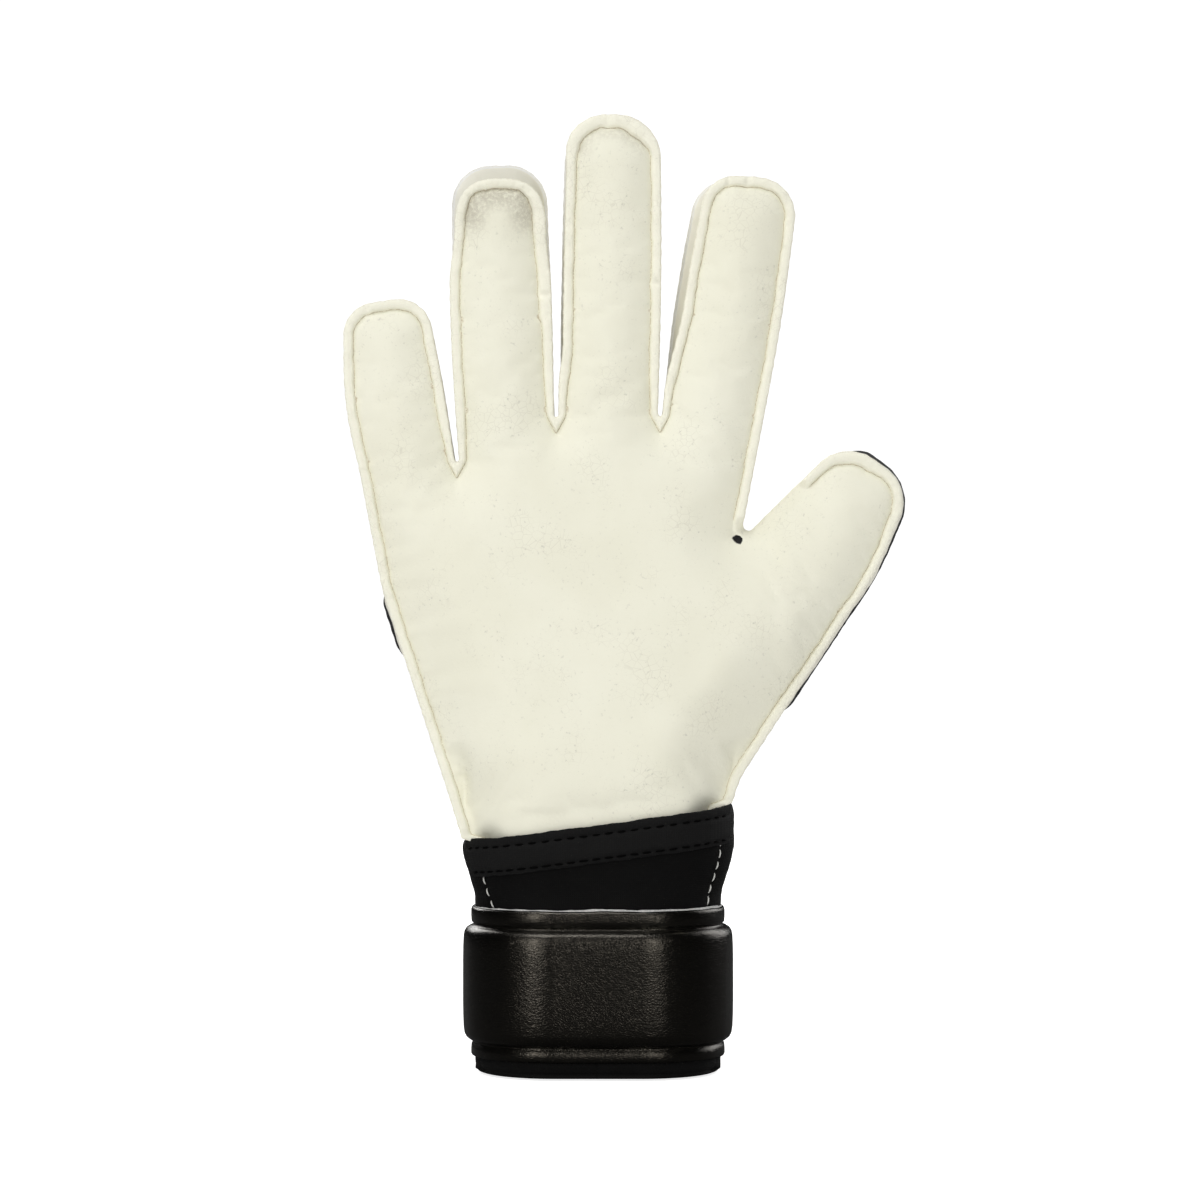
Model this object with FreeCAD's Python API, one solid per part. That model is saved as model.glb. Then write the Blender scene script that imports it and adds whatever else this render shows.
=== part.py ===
"""Goalkeeper's glove for the right hand, as separate sewn pieces.

Frame: millimetres. +Z runs from the cuff to the fingertips, +X points to the thumb side and the palm
faces -Y. The origin is the centre of the wrist opening, in the plane that the glove stands on.
"""
import FreeCAD, Part
import math
import os
from dataclasses import dataclass
from FreeCAD import Placement, Rotation, Vector

# ---------------------------------------------------------------- driving dimensions
SEAM_ALLOWANCE = 3.6  # raw edge that stands outside every outer seam
GUSSET_WALL = 2.2  # side wall of the hand and the fingers, lining included
PALM_FOAM = 3.6  # latex foam of the palm side
BACK_FOAM = 3.6  # foam of the back of the hand
LINING = 0.7  # inner textile
CROSS_BODY_GAP = 0.3  # between pieces that move against each other
FAR = 200.0  # half size of cutting blocks

# cuff: a racetrack tube that is straight under the strap and flares up to the palm
CUFF_HALF_WIDTH = 33.6
CUFF_HALF_DEPTH = 21.6
CUFF_WALL = 2.4
CUFF_TOP_HALF_WIDTH = 37.4
CUFF_TOP_HALF_DEPTH = 23.2
CUFF_FLARE_START = 47.5
CUFF_FLARE_END = 65.0
CUFF_TOP = 84.0
CUFF_SIDE_BINDING_WIDTH = 18.0
REINFORCEMENT_HEIGHT = 10.6
REINFORCEMENT_THICKNESS = 0.8
HEM_HEIGHT = 5.6
HEM_PROUD = 0.5
HEM_FLOOR = 1.0

# hand: (z, half depth) from the cuff to the roots of the fingers
WRIST_OVERHANG = 0.5  # how far the palm stands out over the cuff
WRIST_HALF_WIDTH = CUFF_TOP_HALF_WIDTH + WRIST_OVERHANG
WRIST_HALF_DEPTH = CUFF_TOP_HALF_DEPTH + WRIST_OVERHANG
HAND_DEPTHS = [
    (40.0, WRIST_HALF_DEPTH),
    (84.0, WRIST_HALF_DEPTH),
    (108.0, 20.4),
    (142.0, 15.6),
    (170.0, 12.0),
    (200.0, 12.0),
]

# cross-section of the hand at the wrist: deep in the middle, thin towards the seams
HAND_MIDDLE_HALF_WIDTH = 11.0
HAND_MIDDLE_HALF_DEPTH = WRIST_HALF_DEPTH + 1.3
HAND_SIDE_HALF_WIDTH = 37.0
HAND_SIDE_HALF_DEPTH = 12.0
HAND_SECTION_RADIUS = 20.0

# outline of the hand: (x, z, corner radius), counter-clockwise from the cuff's little-finger side
HAND_OUTLINE = [
    (-WRIST_HALF_WIDTH, 54.0, 0.0),
    (WRIST_HALF_WIDTH, 54.0, 0.0),
    (WRIST_HALF_WIDTH + 1.4, 81.0, 20.0),
    (68.8, 127.0, 1.0),
    (40.4, 150.5, 2.5),
    (46.6, 185.0, 1.0),
    (18.0, 183.0, 0.0),
    (-12.0, 183.0, 0.0),
    (-39.6, 170.0, 0.0),
    (-67.6, 172.0, 1.0),
    (-60.8, 136.0, 60.0),
    (-WRIST_HALF_WIDTH - 4.2, 78.5, 25.0),
]

# line where the palm meets the cuff: height at each side of the hand
CUFF_LINE_LITTLE_SIDE = (-38.0, 65.8)
CUFF_LINE_THUMB_SIDE = (37.4, 75.8)

# wrist strap: one turn of foam laminate, then the tongue over its own start
STRAP_BOTTOM = 4.6
STRAP_HEIGHT = 42.2
STRAP_FOAM = 3.0
STRAP_FACING = 0.9
STRAP_FIT = 0.2  # strap to hem
STRAP_START_X = 12.0
STRAP_END_X = -22.0
STRAP_HINGE_DEG = 30.0  # where the tongue leaves the turn, from +X
STRAP_END_RADIUS = 9.0
PATCH_THICKNESS = 1.0
PATCH_LENGTH = 20.0
PATCH_MARGIN = 5.0
TAB_LENGTH = 10.0
TAB_HEIGHT = 17.0
TAB_THICKNESS = 1.8

# lock stitches that show on the cuff
STITCH_LENGTH = 2.3
STITCH_WIDTH = 0.7
STITCH_HEIGHT = 0.45
STITCH_PITCH = 3.2
STITCH_LIFT = 0.02
STITCH_ROW_DROPS = (2.6, 9.4)  # below the cuff line
SIDE_STITCH_PITCH = 4.4
SIDE_STITCH_ROWS = 5
SIDE_STITCH_INSET = 1.3

# raised pads on the back of the hand: slanted bars
PAD_THICKNESS = 1.0
PAD_WIDTH = 11.0
PAD_PITCH = 19.0
PAD_COUNT = 4
PAD_FIRST_Z = 88.0
PAD_HALF_SPAN = 30.0
PAD_RISE = 16.0
PAD_CORNER = 2.5


@dataclass
class Digit:
    """One finger or the thumb, in its own frame: u across it, y through it, s along it from its root."""

    name: str
    root: tuple
    lean_deg: float
    half_width: float
    tip_half_width: float
    length: float
    tip_radius: float
    half_depth: float
    curl_deg: float
    bends: tuple


DIGITS = [
    Digit("little", (-53.9, 172.5), -8.4, 13.7, 12.4, 45.5, 9.5, 11.0, 3.0, ((2.0, 18.0), (21.0, 35.0))),
    Digit("ring", (-26.5, 185.0), -1.5, 14.1, 14.1, 70.0, 11.5, 12.0, 8.0, ((3.0, 25.0), (30.0, 52.0))),
    Digit("middle", (2.9, 185.0), 0.8, 13.9, 13.9, 85.0, 12.5, 12.0, 3.0, ((3.0, 25.0), (35.0, 57.0))),
    Digit("index", (32.6, 185.0), 8.3, 14.3, 14.9, 68.5, 11.0, 12.0, 2.0, ((3.0, 25.0), (30.0, 52.0))),
    Digit("thumb", (53.9, 138.3), 37.5, 18.8, 12.5, 42.0, 12.0, 12.5, 4.0, ((4.0, 22.0),)),
]
STUB = 15.0  # how far a digit's outline runs down into the hand


# ---------------------------------------------------------------- outlines and slabs
def rounded_wire(corners, place):
    """A closed wire through (a, b, radius) corners, each rounded; place(a, b) puts a point in space."""
    edges = []
    last = None
    first = None
    count = len(corners)
    for i, (a, b, radius) in enumerate(corners):
        before, after = corners[i - 1], corners[(i + 1) % count]
        into = unit(a - before[0], b - before[1])
        out = unit(after[0] - a, after[1] - b)
        turn = math.acos(max(-1.0, min(1.0, into[0] * out[0] + into[1] * out[1])))
        reach = radius * math.tan(turn / 2)
        if reach < 0.02:
            start = middle = end = (a, b)
        else:
            start = (a - into[0] * reach, b - into[1] * reach)
            end = (a + out[0] * reach, b + out[1] * reach)
            inward = unit(out[0] - into[0], out[1] - into[1])
            sagitta = radius / math.cos(turn / 2) - radius
            middle = (a + inward[0] * sagitta, b + inward[1] * sagitta)
        if last is not None:
            edges.append(Part.LineSegment(place(*last), place(*start)).toShape())
        if start != end:
            edges.append(Part.Arc(place(*start), place(*middle), place(*end)).toShape())
        first = first or start
        last = end
    edges.append(Part.LineSegment(place(*last), place(*first)).toShape())
    return Part.Wire(edges)


def unit(a, b):
    size = math.hypot(a, b)
    return (a / size, b / size)


def inset(corners, distance):
    """The outline moved inwards; corners run counter-clockwise."""
    moved = []
    count = len(corners)
    for i, (a, b, radius) in enumerate(corners):
        before, after = corners[i - 1], corners[(i + 1) % count]
        into = unit(a - before[0], b - before[1])
        out = unit(after[0] - a, after[1] - b)
        cross = into[0] * out[1] - into[1] * out[0]
        dot = into[0] * out[0] + into[1] * out[1]
        shift = distance * (1 - dot) / cross if abs(cross) > 1e-6 else 0.0
        normal = (-into[1], into[0])
        point = (a + normal[0] * distance - into[0] * shift, b + normal[1] * distance - into[1] * shift)
        new_radius = radius - distance if cross > 0 else radius + distance
        moved.append((*point, max(0.0, new_radius) if radius > 0 else 0.0))
    return moved


def front_prism(corners):
    """A block with that outline seen from the palm, as deep as the cutting blocks."""
    wire = rounded_wire(corners, lambda x, z: Vector(x, -FAR, z))
    return Part.Face(wire).extrude(Vector(0, 2 * FAR, 0))


def depth_slab(front, back):
    """A sheet between two side curves, each a list of (y, z) from the cuff upwards, as wide as needed."""
    points = [Vector(-FAR, y, z) for y, z in front + back[::-1]]
    face = Part.Face(Part.makePolygon(points + points[:1]))
    return face.extrude(Vector(2 * FAR, 0, 0))


def moved_curve(curve, distance):
    return [(y + distance, z) for y, z in curve]


def below_line(start, end, drop=0.0):
    """Everything under the line through two (x, z) points, lowered by drop."""
    slope = (end[1] - start[1]) / (end[0] - start[0])
    left = start[1] + slope * (-FAR - start[0]) - drop
    right = start[1] + slope * (FAR - start[0]) - drop
    return front_prism([(-FAR, -FAR, 0), (FAR, -FAR, 0), (FAR, right, 0), (-FAR, left, 0)])


def joined(shapes):
    """One solid from solids that share faces or overlap."""
    return shapes[0].fuse(shapes[1:]).removeSplitter() if len(shapes) > 1 else shapes[0]


# ---------------------------------------------------------------- digits
def digit_outline(digit, start, end, margin):
    """Corners (u, s, radius) of a stretch of the digit, inset by margin; end None runs over the tip."""
    top = digit.length - margin if end is None else end
    radius = digit.tip_radius - margin if end is None else 0.0

    def half(s):
        share = max(0.0, min(1.0, s / digit.length))
        return digit.half_width + (digit.tip_half_width - digit.half_width) * share - margin

    low, high = half(start), half(top)
    return [(-low, start, 0.0), (low, start, 0.0), (high, top, radius), (-high, top, radius)]


def digit_curve(digit, offset):
    """Side curve of the digit at that offset from its middle: straight, then curled over its last third."""
    curl_start = digit.length * 0.62
    run = digit.length + STUB - curl_start
    lean = -run * math.tan(math.radians(digit.curl_deg))
    return [(offset, -2 * STUB), (offset, curl_start), (offset + lean, digit.length + STUB)]


def digit_placement(digit):
    return Placement(
        Vector(digit.root[0], 0, digit.root[1]), Rotation(Vector(0, 1, 0), digit.lean_deg)
    )


def digit_stretch(digit, start, end):
    """Palm sheet, back sheet and side walls of one stretch, in the digit's own frame."""
    outer = front_prism(digit_outline(digit, start, end, 0.0))
    wall_outer = front_prism(digit_outline(digit, start, end, SEAM_ALLOWANCE))
    wall_inner = front_prism(
        digit_outline(digit, start - 1.0, None if end is None else end + 1.0, SEAM_ALLOWANCE + GUSSET_WALL)
    )
    depth = digit.half_depth
    palm = outer.common(depth_slab(digit_curve(digit, -depth), digit_curve(digit, -depth + PALM_FOAM)))
    back = outer.common(depth_slab(digit_curve(digit, depth - BACK_FOAM), digit_curve(digit, depth)))
    between = depth_slab(digit_curve(digit, -depth + PALM_FOAM), digit_curve(digit, depth - BACK_FOAM))
    walls = wall_outer.cut(wall_inner).common(between)
    return palm, back, walls


def tip_walls(digit, walls):
    """The tip's wall as three solids: two sides and a cap."""
    cap_start = digit.length - digit.tip_radius
    above = Part.makeBox(2 * FAR, 2 * FAR, 2 * FAR, Vector(-FAR, -FAR, cap_start))
    return [walls.cut(above), walls.common(above)]


def placed(shape, digit):
    copy = shape.copy()
    copy.Placement = digit_placement(digit).multiply(copy.Placement)
    return copy


def digit_nodes(digit):
    """Bending sleeves and stiff stretches of one digit, by node name."""
    nodes = {}
    starts = [bend[1] for bend in digit.bends]
    ends = [bend[0] for bend in digit.bends[1:]] + [None]
    places = ("base", "tip") if len(digit.bends) == 2 else ("tip",)
    for bend, place in zip(digit.bends, places):
        palm, back, walls = digit_stretch(digit, *bend)
        nodes[f"{digit.name}_{place}_bend"] = joined([palm, back, *walls.Solids])
    for start, end, place in zip(starts, ends, places):
        palm, back, walls = digit_stretch(digit, start, end)
        nodes[f"{digit.name}_{place}_palm"] = palm
        nodes[f"{digit.name}_{place}_back"] = back
        if end is None:
            nodes[f"{digit.name}_{place}_gusset"] = Part.makeCompound(
                [solid for group in tip_walls(digit, walls) for solid in group.Solids]
            )
        else:
            nodes[f"{digit.name}_{place}_gusset"] = Part.makeCompound(walls.Solids)
    return {name: placed(shape, digit) for name, shape in nodes.items()}


# ---------------------------------------------------------------- hand
def hand_block(margin):
    """The hand's outline with the roots of all digits, inset by margin, above the cuff line."""
    shapes = [front_prism(inset(HAND_OUTLINE, margin))]
    for digit in DIGITS:
        root = digit_outline(digit, -STUB, digit.bends[0][0], margin)
        shapes.append(placed(front_prism(root), digit))
    return joined(shapes).cut(below_line(CUFF_LINE_LITTLE_SIDE, CUFF_LINE_THUMB_SIDE))


def hand_body(shift):
    """The hand's depth as a block, front and back surfaces moved inwards by shift."""
    front = [(shift - depth, z) for z, depth in HAND_DEPTHS]
    back = [(depth - shift, z) for z, depth in HAND_DEPTHS]
    middle, side = HAND_MIDDLE_HALF_DEPTH - shift, HAND_SIDE_HALF_DEPTH - shift
    radius = HAND_SECTION_RADIUS
    half = [
        (-FAR, -side, 0.0),
        (-HAND_SIDE_HALF_WIDTH, -side, radius),
        (-HAND_MIDDLE_HALF_WIDTH, -middle, radius),
        (HAND_MIDDLE_HALF_WIDTH, -middle, radius),
        (HAND_SIDE_HALF_WIDTH, -side, radius),
        (FAR, -side, 0.0),
    ]
    corners = half + [(x, -y, r) for x, y, r in half[::-1]]
    section = rounded_wire(corners, lambda x, y: Vector(x, y, -FAR))
    return depth_slab(front, back).common(Part.Face(section).extrude(Vector(0, 0, 2 * FAR)))


def front_half(shape):
    return shape.common(Part.makeBox(2 * FAR, FAR, 2 * FAR, Vector(-FAR, -FAR, -FAR)))


def back_half(shape):
    return shape.common(Part.makeBox(2 * FAR, FAR, 2 * FAR, Vector(-FAR, 0, -FAR)))


def hand_nodes():
    sheet = hand_block(0.0)
    wall_inner = hand_block(SEAM_ALLOWANCE + GUSSET_WALL)
    inside = hand_body(PALM_FOAM)
    foam = sheet.common(hand_body(0.0)).cut(inside)
    lining = wall_inner.common(inside).cut(hand_body(PALM_FOAM + LINING))
    nodes = {
        "palm_latex": front_half(foam),
        "palm_lining": front_half(lining),
        "back_foam": back_half(foam),
        "back_lining": back_half(lining),
    }
    walls = hand_block(SEAM_ALLOWANCE).cut(wall_inner).common(inside)
    nodes.update(split_walls(walls))
    nodes["back_pads"] = back_pads()
    return nodes


def split_walls(walls):
    """The hand's side wall by place: little-finger side, thumb side and between the digits."""
    groups = {"little_side_gusset": [], "thumb_side_gusset": [], "finger_crotch_gussets": []}
    for solid in walls.Solids:
        box = solid.BoundBox
        if box.ZMin > CUFF_LINE_THUMB_SIDE[1] + 1.0:
            groups["finger_crotch_gussets"].append(solid)
        elif box.Center.x < 0:
            groups["little_side_gusset"].append(solid)
        else:
            groups["thumb_side_gusset"].append(solid)
    return {name: Part.makeCompound(solids) for name, solids in groups.items()}


def back_pads():
    """Slanted bars that stand proud of the back of the hand."""
    surface = back_half(hand_body(-PAD_THICKNESS)).cut(hand_body(0.0))
    inner = hand_block(2 * SEAM_ALLOWANCE)
    pads = []
    for i in range(PAD_COUNT):
        low = PAD_FIRST_Z + i * PAD_PITCH
        corners = [
            (-PAD_HALF_SPAN, low, PAD_CORNER),
            (PAD_HALF_SPAN, low + PAD_RISE, PAD_CORNER),
            (PAD_HALF_SPAN, low + PAD_RISE + PAD_WIDTH, PAD_CORNER),
            (-PAD_HALF_SPAN, low + PAD_WIDTH, PAD_CORNER),
        ]
        pads += front_prism(corners).common(surface).common(inner).Solids
    return Part.makeCompound(pads)


# ---------------------------------------------------------------- cuff
def racetrack(half_width, half_depth, z):
    """A closed wire of two straight sides and two half circles."""
    straight = half_width - half_depth
    r = half_depth
    return Part.Wire(
        [
            Part.LineSegment(Vector(-straight, -r, z), Vector(straight, -r, z)).toShape(),
            Part.Arc(Vector(straight, -r, z), Vector(straight + r, 0, z), Vector(straight, r, z)).toShape(),
            Part.LineSegment(Vector(straight, r, z), Vector(-straight, r, z)).toShape(),
            Part.Arc(Vector(-straight, r, z), Vector(-straight - r, 0, z), Vector(-straight, -r, z)).toShape(),
        ]
    )


def cuff_block(growth, bottom):
    """The cuff's tube as a filled block, its surface moved outwards by growth."""
    low = (CUFF_HALF_WIDTH + growth, CUFF_HALF_DEPTH + growth)
    high = (CUFF_TOP_HALF_WIDTH + growth, CUFF_TOP_HALF_DEPTH + growth)
    levels = [(low, bottom), (low, CUFF_FLARE_START), (high, CUFF_FLARE_END), (high, CUFF_TOP)]
    stretches = []
    for (size, z), (next_size, next_z) in zip(levels, levels[1:]):
        wires = [racetrack(*size, z), racetrack(*next_size, next_z)]
        stretches.append(Part.makeLoft(wires, True, True))
    return joined(stretches)


def cuff_nodes():
    top = below_line(CUFF_LINE_LITTLE_SIDE, CUFF_LINE_THUMB_SIDE)
    shell = cuff_block(0.0, HEM_FLOOR).cut(cuff_block(-CUFF_WALL, 0.0)).common(top)
    half_binding = CUFF_SIDE_BINDING_WIDTH / 2
    side = Part.makeBox(FAR, 2 * half_binding, FAR, Vector(0, -half_binding, 0))
    other_side = side.mirror(Vector(0, 0, 0), Vector(1, 0, 0))
    palm_half = Part.makeBox(2 * FAR, FAR, FAR, Vector(-FAR, -FAR - half_binding, 0))
    back_half = Part.makeBox(2 * FAR, FAR, FAR, Vector(-FAR, half_binding, 0))
    band = cuff_block(REINFORCEMENT_THICKNESS, 0.0).cut(cuff_block(0.0, 0.0)).common(top).common(palm_half)
    low_line = below_line(CUFF_LINE_LITTLE_SIDE, CUFF_LINE_THUMB_SIDE, REINFORCEMENT_HEIGHT)
    hem_outer = prism_ring(HEM_PROUD, -CUFF_WALL - HEM_PROUD, 0.0, HEM_HEIGHT)
    return {
        "cuff_palm_panel": shell.common(palm_half),
        "cuff_back_panel": shell.common(back_half),
        "cuff_thumb_side_binding": shell.common(side),
        "cuff_little_side_binding": shell.common(other_side),
        "cuff_reinforcement_band": band.cut(low_line),
        "cuff_hem_binding": hem_outer.cut(prism_ring(0.0, -CUFF_WALL, HEM_FLOOR, HEM_HEIGHT + 1.0)),
        "cuff_row_stitches": row_stitches(),
        "cuff_side_stitches": side_stitches(),
    }


def prism_ring(outer_growth, inner_growth, bottom, top):
    """An upright ring that follows the cuff's straight section."""

    def block(growth):
        wire = racetrack(CUFF_HALF_WIDTH + growth, CUFF_HALF_DEPTH + growth, bottom)
        return Part.Face(wire).extrude(Vector(0, 0, top - bottom))

    return block(outer_growth).cut(block(inner_growth))


def cuff_line_height(x):
    (x0, z0), (x1, z1) = CUFF_LINE_LITTLE_SIDE, CUFF_LINE_THUMB_SIDE
    return z0 + (z1 - z0) * (x - x0) / (x1 - x0)


def flare_share(z):
    return max(0.0, min(1.0, (z - CUFF_FLARE_START) / (CUFF_FLARE_END - CUFF_FLARE_START)))


def cuff_half_width(z):
    return CUFF_HALF_WIDTH + flare_share(z) * (CUFF_TOP_HALF_WIDTH - CUFF_HALF_WIDTH)


def cuff_point(x, z, growth):
    """Point and outward direction of the cuff's palm surface at that x and z."""
    radius = CUFF_HALF_DEPTH + growth + flare_share(z) * (CUFF_TOP_HALF_DEPTH - CUFF_HALF_DEPTH)
    straight = cuff_half_width(z) + growth - radius
    across = max(0.0, abs(x) - straight)
    depth = math.sqrt(max(0.0, radius**2 - across**2))
    normal = unit(math.copysign(across, x), -depth) if across > 0 else (0.0, -1.0)
    return Vector(x, -depth, z), Vector(normal[0], normal[1], 0)


def stitch(x, z, growth, along_height):
    """One stitch lying on the cuff's palm surface, across it or up it."""
    length, width = (STITCH_WIDTH, STITCH_LENGTH) if along_height else (STITCH_LENGTH, STITCH_WIDTH)
    block = Part.makeBox(length, STITCH_HEIGHT, width, Vector(-length / 2, 0, -width / 2))
    point, outward = cuff_point(x, z, growth)
    slope = abs(CUFF_TOP_HALF_WIDTH - CUFF_HALF_WIDTH) / (CUFF_FLARE_END - CUFF_FLARE_START)
    turn = math.degrees(math.atan2(outward.y, outward.x)) - 90
    lift = STITCH_LIFT + slope * width / 2
    block.Placement = Placement(point + outward * lift, Rotation(Vector(0, 0, 1), turn))
    return block


def row_stitches():
    """Two black rows along the reinforcement band."""
    stitches = []
    reach = CUFF_HALF_WIDTH + HEM_PROUD
    count = int(2 * reach / STITCH_PITCH)
    for drop in STITCH_ROW_DROPS:
        for i in range(count + 1):
            x = -reach + STITCH_PITCH * (i + 0.5)
            if abs(x) < reach - CUFF_WALL:
                z = cuff_line_height(x) - drop
                stitches.append(stitch(x, z, REINFORCEMENT_THICKNESS, False))
    return Part.makeCompound(stitches)


def side_stitches():
    """White stitches down each side binding, from the palm's edge to the strap."""
    stitches = []
    for side in (-1, 1):
        top = cuff_line_height(side * CUFF_HALF_WIDTH) - STITCH_LENGTH
        for i in range(SIDE_STITCH_ROWS):
            z = top - i * SIDE_STITCH_PITCH
            if z > STRAP_BOTTOM + STRAP_HEIGHT + STITCH_LENGTH:
                x = side * (cuff_half_width(z) - SIDE_STITCH_INSET)
                stitches.append(stitch(x, z, 0.0, True))
    return Part.makeCompound(stitches)


# ---------------------------------------------------------------- strap
STRAP_INNER_HALF_WIDTH = CUFF_HALF_WIDTH + HEM_PROUD + STRAP_FIT
STRAP_INNER_HALF_DEPTH = CUFF_HALF_DEPTH + HEM_PROUD + STRAP_FIT
STRAP_THICKNESS = STRAP_FOAM + STRAP_FACING
TONGUE_LIFT = STRAP_THICKNESS + 2 * PATCH_THICKNESS + CROSS_BODY_GAP
TONGUE_INNER_Y = STRAP_INNER_HALF_DEPTH + TONGUE_LIFT
STRAP_STRAIGHT = STRAP_INNER_HALF_WIDTH - STRAP_INNER_HALF_DEPTH
WIDE_TURN_X = STRAP_INNER_HALF_WIDTH - TONGUE_INNER_Y
PATCH_X = (WIDE_TURN_X - 1.0 - PATCH_LENGTH, WIDE_TURN_X - 1.0)


def turn_point(angle_deg, offset):
    """A point on the thumb-side turn: tight round the palm, then wide enough to pass over the start."""
    a = math.radians(angle_deg)
    x, radius = (STRAP_STRAIGHT, STRAP_INNER_HALF_DEPTH) if angle_deg < 0 else (WIDE_TURN_X, TONGUE_INNER_Y)
    return Vector(x + (radius + offset) * math.cos(a), (radius + offset) * math.sin(a), STRAP_BOTTOM)


def turn_arc(start_deg, end_deg, offset):
    """An arc of the turn that stays on one side of its thumb-side point, at 0 degrees."""
    points = [turn_point(a, offset) for a in (start_deg, (start_deg + end_deg) / 2, end_deg)]
    return Part.Arc(*points).toShape()


def upright(edges, height=STRAP_HEIGHT):
    """The closed outline of those edges, extruded up from the strap's lower edge."""
    wire = Part.Wire(Part.__sortEdges__(edges))
    return Part.Face(wire).extrude(Vector(0, 0, height))


def strap_turn(inner, outer):
    """The strap from its sewn start on the back, round the little-finger side and the palm, to the tongue."""

    def side(offset):
        y = STRAP_INNER_HALF_DEPTH + offset
        x, z = -STRAP_STRAIGHT, STRAP_BOTTOM
        start, corner = Vector(STRAP_START_X, y, z), Vector(x, y, z)
        far, foot = Vector(x - y, 0, z), Vector(x, -y, z)
        turn_start = turn_point(-90, offset)
        return [
            Part.LineSegment(start, corner).toShape(),
            Part.Arc(corner, far, foot).toShape(),
            Part.LineSegment(foot, turn_start).toShape(),
            turn_arc(-90, 0, offset),
            turn_arc(0, STRAP_HINGE_DEG, offset),
        ]

    inner_y, outer_y = STRAP_INNER_HALF_DEPTH + inner, STRAP_INNER_HALF_DEPTH + outer
    start = Part.LineSegment(
        Vector(STRAP_START_X, inner_y, STRAP_BOTTOM), Vector(STRAP_START_X, outer_y, STRAP_BOTTOM)
    )
    end = Part.LineSegment(turn_point(STRAP_HINGE_DEG, inner), turn_point(STRAP_HINGE_DEG, outer))
    return upright(side(inner) + side(outer) + [start.toShape(), end.toShape()])


def strap_tongue(inner, outer):
    """The loose end of the strap, from the hinge line over the back of the wrist."""
    gap_deg = math.degrees(CROSS_BODY_GAP / TONGUE_INNER_Y)
    start_deg = STRAP_HINGE_DEG + gap_deg
    end_x = STRAP_END_X

    def side(offset):
        corner = turn_point(90, offset)
        return [
            turn_arc(start_deg, 90, offset),
            Part.LineSegment(corner, Vector(end_x, corner.y, STRAP_BOTTOM)).toShape(),
        ]

    inner_y, outer_y = turn_point(90, inner).y, turn_point(90, outer).y
    start = Part.LineSegment(turn_point(start_deg, inner), turn_point(start_deg, outer))
    end = Part.LineSegment(Vector(end_x, inner_y, STRAP_BOTTOM), Vector(end_x, outer_y, STRAP_BOTTOM))
    blank = upright(side(inner) + side(outer) + [start.toShape(), end.toShape()])
    top = STRAP_BOTTOM + STRAP_HEIGHT
    rounded_end = [
        (STRAP_END_X, STRAP_BOTTOM, STRAP_END_RADIUS),
        (FAR, STRAP_BOTTOM, 0.0),
        (FAR, top, 0.0),
        (STRAP_END_X, top, STRAP_END_RADIUS),
    ]
    return blank.common(front_prism(rounded_end))


def patch(front_y):
    """A hook or loop patch between the strap's layers on the back of the wrist."""
    height = STRAP_HEIGHT - 2 * PATCH_MARGIN
    corner = Vector(PATCH_X[0], front_y, STRAP_BOTTOM + PATCH_MARGIN)
    return Part.makeBox(PATCH_X[1] - PATCH_X[0], PATCH_THICKNESS, height, corner)


def strap_nodes():
    middle_z = STRAP_BOTTOM + STRAP_HEIGHT / 2
    tab_y = TONGUE_INNER_Y + (STRAP_THICKNESS - TAB_THICKNESS) / 2
    tab_corner = Vector(STRAP_END_X - TAB_LENGTH, tab_y, middle_z - TAB_HEIGHT / 2)
    return {
        "strap_foam": strap_turn(0.0, STRAP_FOAM),
        "strap_facing": strap_turn(STRAP_FOAM, STRAP_THICKNESS),
        "strap_loop_patch": patch(STRAP_INNER_HALF_DEPTH + STRAP_THICKNESS),
        "tongue_foam": strap_tongue(0.0, STRAP_FOAM),
        "tongue_facing": strap_tongue(STRAP_FOAM, STRAP_THICKNESS),
        "tongue_hook_patch": patch(TONGUE_INNER_Y - PATCH_THICKNESS),
        "tongue_pull_tab": Part.makeBox(TAB_LENGTH, TAB_THICKNESS, TAB_HEIGHT, tab_corner),
    }


# ---------------------------------------------------------------- the whole glove
def glove_nodes():
    nodes = hand_nodes()
    nodes.update(cuff_nodes())
    nodes.update(strap_nodes())
    for digit in DIGITS:
        nodes.update(digit_nodes(digit))
    return nodes


def main():
    os.makedirs("parts", exist_ok=True)
    for name, shape in glove_nodes().items():
        solids = shape.Solids
        if not solids or not all(s.isValid() and s.Volume > 0 for s in solids):
            raise ValueError(f"{name} is not made of valid solids")
        shape.exportStep(f"parts/{name}.step")
        box = shape.BoundBox
        print(f"{name:28s} {len(solids):3d} solids {shape.Volume:10.1f} mm3  z {box.ZMin:6.1f} {box.ZMax:6.1f}")


main()
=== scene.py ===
"""Goalkeeper glove: sewn latex palm, padded back, textile cuff and wrist strap.

Sizes are in millimetres in the classes below and become metres where a mesh is made.
Palm towards -Y, fingers up (+Z), thumb towards +X.
"""
from __future__ import annotations

import logging
import math
from collections.abc import Callable, Sequence
from dataclasses import dataclass, field
from enum import Enum

import bmesh
import bpy
import numpy as np
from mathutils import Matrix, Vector, geometry
from mathutils.bvhtree import BVHTree


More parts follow.
